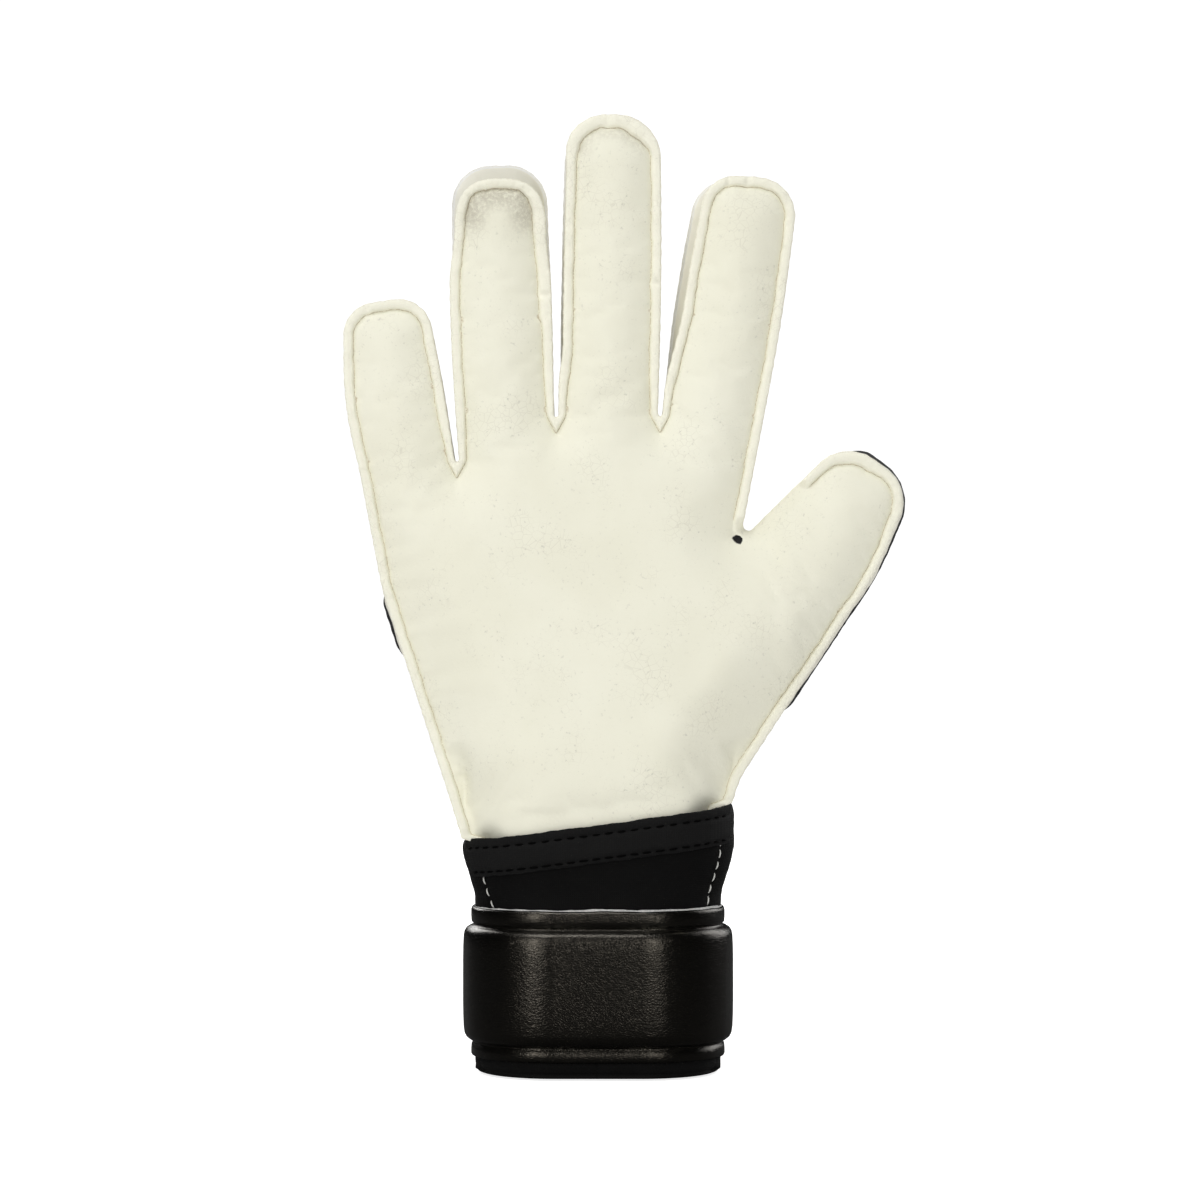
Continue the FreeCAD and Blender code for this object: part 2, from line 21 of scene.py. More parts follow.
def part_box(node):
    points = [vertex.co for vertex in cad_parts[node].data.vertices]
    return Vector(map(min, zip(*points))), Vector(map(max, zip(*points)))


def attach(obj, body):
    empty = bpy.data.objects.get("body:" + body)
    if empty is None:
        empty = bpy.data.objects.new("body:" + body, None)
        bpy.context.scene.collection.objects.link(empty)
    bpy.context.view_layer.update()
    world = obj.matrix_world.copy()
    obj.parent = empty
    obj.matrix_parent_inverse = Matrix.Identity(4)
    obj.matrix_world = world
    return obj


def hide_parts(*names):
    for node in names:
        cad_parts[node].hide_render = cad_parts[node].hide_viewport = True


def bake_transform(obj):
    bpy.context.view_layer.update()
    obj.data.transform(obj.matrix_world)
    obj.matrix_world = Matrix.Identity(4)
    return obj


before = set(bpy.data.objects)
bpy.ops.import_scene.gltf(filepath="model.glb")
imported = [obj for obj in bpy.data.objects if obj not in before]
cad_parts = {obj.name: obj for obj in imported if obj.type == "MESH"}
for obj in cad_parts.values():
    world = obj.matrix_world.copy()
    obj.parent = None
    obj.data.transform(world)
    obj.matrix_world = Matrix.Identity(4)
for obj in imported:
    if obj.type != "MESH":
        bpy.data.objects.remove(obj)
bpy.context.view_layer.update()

log = logging.getLogger("glove")
MM = 0.001
Array = np.ndarray


# ---------------------------------------------------------------- small maths


def smooth(low: float, high: float, value: Array) -> Array:
    """Smooth step from 0 at low to 1 at high.

    Args:
        low: where the step starts.
        high: where it ends.
        value: where it is read.

    Returns:
        The step, from 0 to 1.
    """
    t = np.clip((np.asarray(value, float) - low) / (high - low), 0.0, 1.0)
    return t * t * (3.0 - 2.0 * t)


def ripple(seed: int, position: Array, wavelength: float) -> Array:
    """Smooth seeded noise along a line.

    Args:
        seed: which line of noise.
        position: where it is read, in mm.
        wavelength: the length of its longest wave, in mm.

    Returns:
        Values of about -1 to 1.
    """
    rng = np.random.default_rng(seed)
    total = np.zeros(np.shape(position))
    for octave in range(4):
        turn = 2.0 * math.pi / (wavelength * rng.uniform(0.75, 1.25) / 1.7**octave)
        total += np.sin(np.asarray(position) * turn + rng.uniform(0.0, 6.28)) / 1.5**octave
    return total / 2.2


def to_segment(points: Array, start: Sequence[float], end: Sequence[float]) -> tuple[Array, Array]:
    """Distance from points to one segment.

    Args:
        points: the points, (n, 2).
        start: one end of the segment.
        end: its other end.

    Returns:
        The distance of each point, and its share of the way along.
    """
    a, b = np.asarray(start, float), np.asarray(end, float)
    run = b - a
    share = np.clip(((points - a) @ run) / max(run @ run, 1e-9), 0.0, 1.0)
    return np.linalg.norm(points - (a + share[:, None] * run), axis=1), share


def to_line(points: Array, line: Array) -> tuple[Array, Array]:
    """Distance from points to a run of points.

    Args:
        points: the points, (n, 2).
        line: the run, (m, 2).

    Returns:
        The distance of each point, and the index of the nearest point on the run.
    """
    gap = np.empty(len(points))
    near = np.empty(len(points), int)
    a, run = line[:-1], np.diff(line, axis=0)
    span = np.maximum((run**2).sum(1), 1e-9)
    for first in range(0, len(points), 1500):
        p = points[first : first + 1500, None, :]
        share = np.clip(((p - a) * run).sum(2) / span, 0.0, 1.0)
        d = ((p - (a + share[..., None] * run)) ** 2).sum(2)
        best = d.argmin(1)
        rows = np.arange(len(best))
        gap[first : first + 1500] = np.sqrt(d[rows, best])
        near[first : first + 1500] = best + (share[rows, best] > 0.5)
    return gap, near


def inside(points: Array, line: Array) -> Array:
    """Which points lie inside a closed outline.

    Args:
        points: the points, (n, 2).
        line: the outline, (m, 2), closed by itself.

    Returns:
        True for each point inside.
    """
    held = np.zeros(len(points), bool)
    nxt = np.roll(line, -1, axis=0)
    for (x0, z0), (x1, z1) in zip(line, nxt):
        crosses = (z0 > points[:, 1]) != (z1 > points[:, 1])
        if not crosses.any():
            continue
        x = x0 + (points[:, 1] - z0) * (x1 - x0) / (z1 - z0 if z1 != z0 else 1e-9)
        held ^= crosses & (points[:, 0] < x)
    return held


# ---------------------------------------------------------------- making objects


def make_object(
    name: str,
    points: Array,
    faces: Sequence[Sequence[int]],
    material: bpy.types.Material,
    cloth: Array | None = None,
    masks: dict[str, Array] | None = None,
    normals: Array | None = None,
    tidy: bool = True,
) -> bpy.types.Object:
    """Makes one piece from points and faces.

    Args:
        name: the piece's name.
        points: its points in mm, (n, 3).
        faces: its faces.
        material: its finish.
        cloth: fabric coordinates in mm for its weave, or None for the points themselves.
        masks: named values at each point, for the finish.
        normals: smooth normals to keep where the piece was cut from a larger one.
        tidy: whether face directions are made consistent.

    Returns:
        The object.
    """
    mesh = bpy.data.meshes.new(name)
    mesh.from_pydata((np.asarray(points) * MM).tolist(), [], [tuple(map(int, f)) for f in faces])
    co = mesh.attributes.new("cloth_co", "FLOAT_VECTOR", "POINT")
    co.data.foreach_set(
        "vector", (np.asarray(points if cloth is None else cloth) * MM).astype(np.float32).ravel()
    )
    for key, values in (masks or {}).items():
        mesh.attributes.new(key, "FLOAT", "POINT").data.foreach_set("value", np.asarray(values, np.float32))
    if tidy:
        work = bmesh.new()
        work.from_mesh(mesh)
        bmesh.ops.recalc_face_normals(work, faces=work.faces)
        work.to_mesh(mesh)
        work.free()
    mesh.polygons.foreach_set("use_smooth", np.ones(len(mesh.polygons), bool))
    if normals is not None:
        mesh.normals_split_custom_set_from_vertices(normals.tolist())
    mesh.materials.append(material)
    mesh.update()
    made = bpy.data.objects.new(name, mesh)
    bpy.context.collection.objects.link(made)
    return made


def grid_rim(rows: int, wide: int) -> list[int]:
    """The outer points of a grid of rows x wide points, in order around it.

    Args:
        rows: how many rows there are.
        wide: how many points are in a row.

    Returns:
        The points' numbers.
    """
    rim = list(range(wide)) + [i * wide + wide - 1 for i in range(1, rows)]
    rim += [(rows - 1) * wide + j for j in range(wide - 2, -1, -1)]
    return rim + [i * wide for i in range(rows - 2, 0, -1)]


def two_sheets(rows: int, wide: int) -> list[tuple[int, ...]]:
    """The faces of two grids of points, the second under the first, closed around their rims.

    Args:
        rows: how many rows each grid has.
        wide: how many points are in a row.

    Returns:
        The faces.
    """
    under = rows * wide
    faces = []
    for i in range(rows - 1):
        for j in range(wide - 1):
            a = i * wide + j
            faces.append((a, a + 1, a + wide + 1, a + wide))
            b = a + under
            faces.append((b, b + wide, b + wide + 1, b + 1))
    rim = grid_rim(rows, wide)
    return faces + [(a, a + under, b + under, b) for a, b in zip(rim, rim[1:] + rim[:1])]


def seat(
    piece: bpy.types.Object, body: str, nodes: Sequence[str]
) -> bpy.types.Object:
    """Seats a piece on its body in place of its CAD nodes.

    Args:
        piece: the piece.
        body: the body that it rides on.
        nodes: the CAD nodes that it stands for.

    Returns:
        The piece.
    """
    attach(piece, body)
    if nodes:
        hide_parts(*nodes)
    return piece


Surface = Callable[[Array, Array, Array], Array]


def sweep(
    surface: Surface, run: Array, profiles: Array, loop: bool = False
) -> tuple[Array, list[tuple[int, ...]], Array]:
    """Sweeps a closed profile along a surface.

    Args:
        surface: gives a point from the place along, the height and how far out.
        run: places along, (n,).
        profiles: (out, height) of each profile point at each place, (n, m, 2).
        loop: whether the last profile joins the first.

    Returns:
        The points, the faces and the fabric coordinates.
    """
    count, around = profiles.shape[:2]
    along = np.repeat(run[:, None], around, axis=1)
    points = surface(along, profiles[..., 1], profiles[..., 0]).reshape(-1, 3)
    cloth = np.stack([along, profiles[..., 1], profiles[..., 0]], axis=-1).reshape(-1, 3)
    faces: list[tuple[int, ...]] = []
    for i in range(count if loop else count - 1):
        a, b = i * around, ((i + 1) % count) * around
        faces += [(a + j, a + (j + 1) % around, b + (j + 1) % around, b + j) for j in range(around)]
    if not loop:
        faces.append(tuple(range(around)))
        faces.append(tuple((count - 1) * around + j for j in reversed(range(around))))
    return points, faces, cloth


def ribbon(out: Array, height: Array, under: Array) -> Array:
    """Closed profiles for a sweep: the outer face up, then the inner face down.

    Args:
        out: how far out the outer face is, (n, m).
        height: the height of each point, (n, m).
        under: how far out the inner face is, (n, m).

    Returns:
        The profiles, (n, 2m, 2).
    """
    outer = np.stack([out, height], axis=-1)
    inner = np.stack([under, height], axis=-1)[:, ::-1]
    return np.concatenate([outer, inner], axis=1)


def rounded(count: int, edge: float = 0.12) -> tuple[Array, Array]:
    """Shares across a band, closer together at its edges, with a rounded edge height.

    Args:
        count: how many.
        edge: the share of the band that its rounded edge takes.

    Returns:
        The shares from 0 to 1, and the height from 0 to 1 at each.
    """
    t = 0.5 - 0.5 * np.cos(np.linspace(0.0, math.pi, count))
    d = np.minimum(np.minimum(t, 1.0 - t) / edge, 1.0)
    return t, np.sqrt(np.clip(1.0 - (1.0 - d) ** 2, 0.0, 1.0))


def stitches(
    centres: Array, along: Array, outward: Array, length: float, width: float, lift: float, seed: int
) -> tuple[Array, list[tuple[int, ...]], Array]:
    """Thread stitches, each a bowed strand that dives into the cloth at both ends.

    Args:
        centres: the middle of each stitch, (n, 3).
        along: its direction, (n, 3).
        outward: the cloth's outward direction there, (n, 3).
        length: a stitch's length.
        width: the thread's width.
        lift: how far the thread's middle stands off the cloth.
        seed: for its small irregularities.

    Returns:
        The points, the faces and the fabric coordinates.
    """
    rng = np.random.default_rng(seed)
    rings, sides = 7, 8
    step = np.linspace(-1.0, 1.0, rings)
    turn = np.linspace(0.0, 2.0 * math.pi, sides, endpoint=False)
    points, faces, cloth = [], [], []
    for c, a, n in zip(centres, along, outward):
        a = a / np.linalg.norm(a)
        n = n - a * (n @ a)
        n = n / np.linalg.norm(n)
        side = np.cross(a, n)
        a = a + side * rng.normal(0.0, 0.05)
        size = length * rng.uniform(0.9, 1.08)
        base = len(points) * rings * sides
        bow = lift * (1.0 - np.abs(step) ** 2.6) - 0.25 * width
        thick = 0.5 * width * (1.0 - 0.45 * np.abs(step) ** 3)
        spine = c + np.outer(step * size / 2.0, a) + np.outer(bow, n)
        ring = np.cos(turn)[None, :, None] * side + 0.8 * np.sin(turn)[None, :, None] * n
        points.append((spine[:, None, :] + thick[:, None, None] * ring).reshape(-1, 3))
        cloth.append(
            np.stack(
                np.broadcast_arrays(step[:, None] * size / 2.0, turn[None] * width / 2.0, c[2]), -1
            ).reshape(-1, 3)
        )
        for i in range(rings - 1):
            p, q = base + i * sides, base + (i + 1) * sides
            faces += [(p + j, p + (j + 1) % sides, q + (j + 1) % sides, q + j) for j in range(sides)]
        faces.append(tuple(base + j for j in reversed(range(sides))))
        faces.append(tuple(base + (rings - 1) * sides + j for j in range(sides)))
    return np.concatenate(points), faces, np.concatenate(cloth)


# ---------------------------------------------------------------- finishes


class Board:
    """A node tree with short ways to place and join nodes."""

    def __init__(self, tree: bpy.types.NodeTree) -> None:
        """Wraps a tree."""
        self.tree = tree

    def node(self, kind: str, **values: object) -> bpy.types.Node:
        """Places a node.

        Args:
            kind: the node's type, without its first word.
            **values: its settings, or values of its inputs with spaces as underscores.

        Returns:
            The node.
        """
        made = self.tree.nodes.new("ShaderNode" + kind)
        for key, value in values.items():
            if hasattr(made, key):
                setattr(made, key, value)
                continue
            socket = made.inputs[int(key[1:])] if key[1:].isdigit() else made.inputs[key.replace("_", " ")]
            if isinstance(value, bpy.types.NodeSocket):
                self.tree.links.new(value, socket)
            else:
                socket.default_value = value
        return made

    def math(self, operation: str, first: object, second: object = 0.0) -> bpy.types.NodeSocket:
        """One sum.

        Args:
            operation: the sum.
            first: a value or socket.
            second: a value or socket.

        Returns:
            The result's socket.
        """
        return self.node("Math", operation=operation, i0=first, i1=second).outputs[0]

    def mix(self, share: object, first: object, second: object, blend: str = "MIX") -> bpy.types.NodeSocket:
        """Mixes two colours.

        Args:
            share: how much of the second.
            first: a colour or socket.
            second: a colour or socket.
            blend: how they mix.

        Returns:
            The result's socket.
        """
        made = self.tree.nodes.new("ShaderNodeMix")
        made.data_type, made.blend_type = "RGBA", blend
        for socket, value in ((made.inputs[0], share), (made.inputs[6], first), (made.inputs[7], second)):
            if isinstance(value, bpy.types.NodeSocket):
                self.tree.links.new(value, socket)
            else:
                socket.default_value = value
        return made.outputs[2]

    def ramp(self, value: object, low: float, high: float) -> bpy.types.NodeSocket:
        """Maps low to high onto 0 to 1, held at both ends.

        Args:
            value: the socket to map.
            low: what becomes 0.
            high: what becomes 1.

        Returns:
            The result's socket.
        """
        return self.node(
            "MapRange", interpolation_type="SMOOTHSTEP", Value=value, From_Min=low, From_Max=high
        ).outputs[0]


def shared_group(name: str, inputs: dict[str, float], outputs: Sequence[str]) -> tuple[
    Board, bpy.types.Node, bpy.types.Node
]:
    """Starts a shared effect with named sockets.

    Args:
        name: the effect's name.
        inputs: its inputs and their usual values; Coordinates is a vector.
        outputs: its outputs, all numbers.

    Returns:
        The board, the input node and the output node.
    """
    tree = bpy.data.node_groups.new(name, "ShaderNodeTree")
    tree.interface.new_socket(name="Coordinates", in_out="INPUT", socket_type="NodeSocketVector")
    for key, value in inputs.items():
        tree.interface.new_socket(
            name=key, in_out="INPUT", socket_type="NodeSocketFloat"
        ).default_value = value
    for key in outputs:
        tree.interface.new_socket(name=key, in_out="OUTPUT", socket_type="NodeSocketFloat")
    return Board(tree), tree.nodes.new("NodeGroupInput"), tree.nodes.new("NodeGroupOutput")


class Effect(Enum):
    """The effects that several finishes share."""

    SPECKLE = "Foam Speckle"
    GRAIN = "Hide Grain"
    WEAVE = "Knit Weave"
    FUZZ = "Fibre Fuzz"
    MOTTLE = "Soft Mottle"


class Effects:
    """Builds each shared effect once and places it in finishes."""

    def __init__(self) -> None:
        """Builds every effect."""
        self.built = {
            Effect.SPECKLE: self._speckle(),
            Effect.GRAIN: self._grain(),
            Effect.WEAVE: self._weave(),
            Effect.FUZZ: self._fuzz(),
            Effect.MOTTLE: self._mottle(),
        }

    @staticmethod
    def _speckle() -> bpy.types.NodeTree:
        """Small dark pores and hair cracks.

        Returns:
            The group, with Pores, Cracks and Height.
        """
        b, gi, go = shared_group("Foam Speckle", {"Density": 900.0}, ("Pores", "Cracks", "Height"))
        co, density = gi.outputs["Coordinates"], gi.outputs["Density"]
        fine = b.node("TexNoise", Vector=co, Scale=density, Detail=3.0, Roughness=0.65).outputs[0]
        patch = b.node("TexNoise", Vector=co, Scale=b.math("MULTIPLY", density, 0.06), Detail=2.0).outputs[0]
        pores = b.math("MULTIPLY", b.ramp(fine, 0.60, 0.72), b.ramp(patch, 0.35, 0.62))
        cell = b.node(
            "TexVoronoi", feature="DISTANCE_TO_EDGE", Vector=co, Scale=b.math("MULTIPLY", density, 0.45)
        )
        cracks = b.math("MULTIPLY", b.ramp(cell.outputs[0], 0.05, 0.0), b.ramp(patch, 0.5, 0.7))
        height = b.math("SUBTRACT", fine, b.math("MULTIPLY", pores, 0.8))
        for key, value in (("Pores", pores), ("Cracks", cracks), ("Height", height)):
            b.tree.links.new(value, go.inputs[key])
        return b.tree

    @staticmethod
    def _grain() -> bpy.types.NodeTree:
        """Pebbled hide grain with fine creases.

        Returns:
            The group, with Height and Peaks.
        """
        b, gi, go = shared_group("Hide Grain", {"Scale": 900.0}, ("Height", "Peaks"))
        co, scale = gi.outputs["Coordinates"], gi.outputs["Scale"]
        bend = b.node("TexNoise", Vector=co, Scale=b.math("MULTIPLY", scale, 0.5), Detail=2.0)
        moved = b.node(
            "VectorMath", operation="MULTIPLY_ADD", i0=bend.outputs[1], i1=(0.0012,) * 3, i2=co
        ).outputs[0]
        cell = b.node("TexVoronoi", feature="DISTANCE_TO_EDGE", Vector=moved, Scale=scale).outputs[0]
        pebble = b.ramp(cell, 0.0, 0.28)
        fine = b.node("TexNoise", Vector=co, Scale=b.math("MULTIPLY", scale, 3.0), Detail=2.0).outputs[0]
        height = b.math("ADD", b.math("MULTIPLY", pebble, 0.7), b.math("MULTIPLY", fine, 0.35))
        b.tree.links.new(height, go.inputs["Height"])
        b.tree.links.new(pebble, go.inputs["Peaks"])
        return b.tree

    @staticmethod
    def _weave() -> bpy.types.NodeTree:
        """Crossing yarns.

        Returns:
            The group, with Height and Gaps.
        """
        b, gi, go = shared_group("Knit Weave", {"Yarns": 1400.0}, ("Height", "Gaps"))
        split = b.node("SeparateXYZ", Vector=gi.outputs["Coordinates"])
        turns = b.math("MULTIPLY", gi.outputs["Yarns"], math.pi)
        wave = [b.math("SINE", b.math("MULTIPLY", split.outputs[k], turns)) for k in (0, 1)]
        woven = b.math("MULTIPLY", wave[0], wave[1])
        height = b.math("ABSOLUTE", woven)
        b.tree.links.new(height, go.inputs["Height"])
        b.tree.links.new(b.ramp(height, 0.3, 0.0), go.inputs["Gaps"])
        return b.tree

    @staticmethod
    def _fuzz() -> bpy.types.NodeTree:
        """Short loose fibres.

        Returns:
            The group, with Height and Strands.
        """
        b, gi, go = shared_group("Fibre Fuzz", {"Scale": 1800.0}, ("Height", "Strands"))
        bend = b.node(
            "TexNoise", Vector=gi.outputs["Coordinates"], Scale=gi.outputs["Scale"], Detail=4.0,
            Distortion=2.5
        )
        b.tree.links.new(bend.outputs[0], go.inputs["Height"])
        b.tree.links.new(b.ramp(bend.outputs[0], 0.55, 0.7), go.inputs["Strands"])
        return b.tree

    @staticmethod
    def _mottle() -> bpy.types.NodeTree:
        """Slow cloudy change of tone.

        Returns:
            The group, with Tone.
        """
        b, gi, go = shared_group("Soft Mottle", {"Scale": 30.0}, ("Tone",))
        cloud = b.node(
            "TexNoise", Vector=gi.outputs["Coordinates"], Scale=gi.outputs["Scale"], Detail=4.0,
            Roughness=0.6
        )
        b.tree.links.new(b.ramp(cloud.outputs[0], 0.3, 0.7), go.inputs["Tone"])
        return b.tree

    def place(
        self, board: Board, effect: Effect, coordinates: bpy.types.NodeSocket, **values: float
    ) -> bpy.types.Node:
        """Places an effect in a finish.

        Args:
            board: the finish's board.
            effect: which effect.
            coordinates: where it is read.
            **values: its own values.

        Returns:
            The group node.
        """
        made = board.tree.nodes.new("ShaderNodeGroup")
        made.node_tree = self.built[effect]
        board.tree.links.new(coordinates, made.inputs["Coordinates"])
        for key, value in values.items():
            made.inputs[key].default_value = value
        return made


Colour = tuple[float, float, float]


def rgba(colour: Colour) -> tuple[float, float, float, float]:
    """A colour with full cover."""
    return (*colour, 1.0)


@dataclass(frozen=True)
class Finish:
    """What every finish has."""

    name: str
    colour: Colour
    shade: Colour
    roughness: float = 0.7

    def start(self) -> tuple[bpy.types.Material, Board, bpy.types.Node, bpy.types.NodeSocket]:
        """Starts the material.

        Returns:
            The material, its board, its surface shader and the fabric coordinates.
        """
        made = bpy.data.materials.new(self.name)
        made.use_nodes = True
        board = Board(made.node_tree)
        shader = next(n for n in made.node_tree.nodes if n.type == "BSDF_PRINCIPLED")
        shader.inputs["Roughness"].default_value = self.roughness
        co = board.node("Attribute", attribute_name="cloth_co").outputs["Vector"]
        return made, board, shader, co

    @staticmethod
    def close(
        board: Board, shader: bpy.types.Node, colour: object, roughness: object, height: object,
        depth: float
    ) -> None:
        """Joins colour, roughness and height to the shader.

        Args:
            board: the board.
            shader: the surface shader.
            colour: the colour socket.
            roughness: the roughness socket.
            height: the height socket.
            depth: the height's real size in metres.
        """
        link = board.tree.links.new
        link(colour, shader.inputs["Base Color"])
        link(roughness, shader.inputs["Roughness"])
        bump = board.node("Bump", Height=height, Distance=depth, Strength=1.0)
        link(bump.outputs[0], shader.inputs["Normal"])


@dataclass(frozen=True)
class LatexFinish(Finish):
    """Matt latex foam with pores, a stitched seam line, raw cut edges lightened with painted light, and scuffed,
    crackled places that also hold painted shadow below the fingertip lips.
    """

    seam: Colour = (0.40, 0.31, 0.18)
    raw: Colour = (0.62, 0.55, 0.40)
    # cut: the lips' cream, set lighter than the body colour as painted light against the lips' own shading
    cut: Colour = (0.97, 0.96, 0.84)
    # grey-tan of crackled places, also used as painted shadow below the fingertip lips
    worn: Colour = (0.52, 0.49, 0.40)
    stain: Colour = (0.010, 0.010, 0.011)
    pores: float = 0.55
    sheen: float = 0.06

    def make(self, effects: Effects) -> bpy.types.Material:
        """Builds the material.

        Args:
            effects: the shared effects.

        Returns:
            The material.
        """
        made, b, shader, co = self.start()
        speckle = effects.place(b, Effect.SPECKLE, co, Density=1050.0)
        cloud = effects.place(b, Effect.MOTTLE, co, Scale=24.0)
        fuzz = effects.place(b, Effect.FUZZ, co, Scale=900.0)
        seam = b.node("Attribute", attribute_name="seam").outputs["Fac"]
        raw = b.node("Attribute", attribute_name="raw_edge").outputs["Fac"]
        worn = b.node("Attribute", attribute_name="worn").outputs["Fac"]
        colour = b.mix(cloud.outputs["Tone"], rgba(self.colour), rgba(self.shade))
        pores = b.math("MULTIPLY", speckle.outputs["Pores"], self.pores)
        colour = b.mix(pores, colour, rgba(tuple(c * 0.62 for c in self.colour)))
        torn = b.math("MULTIPLY", raw, b.ramp(fuzz.outputs["Height"], 0.38, 0.66))
        # painted light: the raised lips take the lighter cut cream
        colour = b.mix(b.math("MULTIPLY", raw, 0.95), colour, rgba(self.cut))
        rim = b.math("MULTIPLY", b.ramp(raw, 0.82, 1.0), 0.45)
        colour = b.mix(b.math("MULTIPLY", b.math("ADD", rim, 0.16), torn), colour, rgba(self.raw))
        colour = b.mix(
            b.math("MULTIPLY", speckle.outputs["Cracks"], self.pores * 0.5), colour, rgba(self.worn)
        )
        # places below the ring and middle fingertip lips: partly real crackle, partly painted shadow cast by the lips
        rub_and_painted_light = b.math("MULTIPLY", worn, b.ramp(speckle.outputs["Height"], 0.2, 0.75))
        colour = b.mix(rub_and_painted_light, colour, rgba(self.worn))
        thread = b.math("MULTIPLY", b.ramp(seam, 0.45, 0.95), b.ramp(fuzz.outputs["Height"], 0.25, 0.6))
        colour = b.mix(b.math("MULTIPLY", thread, 0.7), colour, rgba(self.seam))
        colour = b.mix(
            b.ramp(b.node("Attribute", attribute_name="stain").outputs["Fac"], 0.35, 0.65), colour,
            rgba(self.stain)
        )
        rough = b.math("ADD", b.math("MULTIPLY", speckle.outputs["Height"], 0.12), self.roughness)
        ridge = b.math(
            "MULTIPLY", b.math("ADD", b.math("MULTIPLY", raw, 2.6), b.math("MULTIPLY", worn, 3.0)),
            fuzz.outputs["Height"]
        )
        height = b.math("ADD", b.math("MULTIPLY", speckle.outputs["Height"], 0.7), ridge)
        self.close(b, shader, colour, rough, height, 0.00011)
        shader.inputs["Sheen Weight"].default_value = self.sheen
        shader.inputs["Specular IOR Level"].default_value = 0.35
        return made


@dataclass(frozen=True)
class TextileFinish(Finish):
    """Woven or knitted cloth."""

    yarns: float = 1500.0
    depth: float = 0.00008
    sheen: float = 0.15
    gloss: float = 0.3

    def make(self, effects: Effects) -> bpy.types.Material:
        """Builds the material.

        Args:
            effects: the shared effects.

        Returns:
            The material.
        """
        made, b, shader, co = self.start()
        weave = effects.place(b, Effect.WEAVE, co, Yarns=self.yarns)
        cloud = effects.place(b, Effect.MOTTLE, co, Scale=60.0)
        fuzz = effects.place(b, Effect.FUZZ, co, Scale=2400.0)
        colour = b.mix(cloud.outputs["Tone"], rgba(self.colour), rgba(self.shade))
        # painted shade: the colour darkens in the weave's gaps
        colour = b.mix(
            b.math("MULTIPLY", weave.outputs["Gaps"], 0.45), colour,
            rgba(tuple(c * 0.4 for c in self.shade))
        )
        lint = b.math("MULTIPLY", fuzz.outputs["Strands"], 0.12)
        colour = b.mix(lint, colour, rgba(tuple(min(1.0, c * 1.8 + 0.02) for c in self.colour)))
        rough = b.math("ADD", b.math("MULTIPLY", fuzz.outputs["Height"], 0.2), self.roughness - 0.08)
        height = b.math("ADD", weave.outputs["Height"], b.math("MULTIPLY", fuzz.outputs["Height"], 0.5))
        self.close(b, shader, colour, rough, height, self.depth)
        shader.inputs["Sheen Weight"].default_value = self.sheen
        shader.inputs["Specular IOR Level"].default_value = self.gloss
        return made


@dataclass(frozen=True)
class HideFinish(Finish):
    """Coated hide with a pebbled grain whose lightened tops are painted highlight, glossier in places where a lighter
    warm colour is partly scuffing and partly painted highlight.
    """

    grain: float = 1400.0
    depth: float = 0.000035
    # lighter warm colour along the channels: partly scuffing, partly painted highlight
    scuff_and_highlight: Colour = (0.03, 0.028, 0.023)

    def make(self, effects: Effects) -> bpy.types.Material:
        """Builds the material.

        Args:
            effects: the shared effects.

        Returns:
            The material.
        """
        made, b, shader, co = self.start()
        grain = effects.place(b, Effect.GRAIN, co, Scale=self.grain)
        cloud = effects.place(b, Effect.MOTTLE, co, Scale=45.0)
        fuzz = effects.place(b, Effect.FUZZ, co, Scale=260.0)
        worn = b.node("Attribute", attribute_name="worn").outputs["Fac"]
        rub_and_painted_light = b.math("MULTIPLY", worn, b.ramp(fuzz.outputs["Height"], 0.42, 0.6))
        colour = b.mix(cloud.outputs["Tone"], rgba(self.colour), rgba(self.shade))
        # painted highlight: the pebble tops are lightened
        colour = b.mix(
            b.math("MULTIPLY", grain.outputs["Peaks"], 0.25), colour,
            rgba(tuple(c * 1.5 for c in self.colour))
        )
        # painted highlight and scuffing along the channels
        colour = b.mix(rub_and_painted_light, colour, rgba(self.scuff_and_highlight))
        rough = b.math("ADD", b.math("MULTIPLY", grain.outputs["Peaks"], -0.08), self.roughness)
        rough = b.math("SUBTRACT", rough, b.math("MULTIPLY", rub_and_painted_light, 0.22))
        self.close(b, shader, colour, rough, grain.outputs["Height"], self.depth)
        shader.inputs["Specular IOR Level"].default_value = 0.72
        shader.inputs["Specular Tint"].default_value = (1.0, 0.93, 0.81, 1.0)
        return made


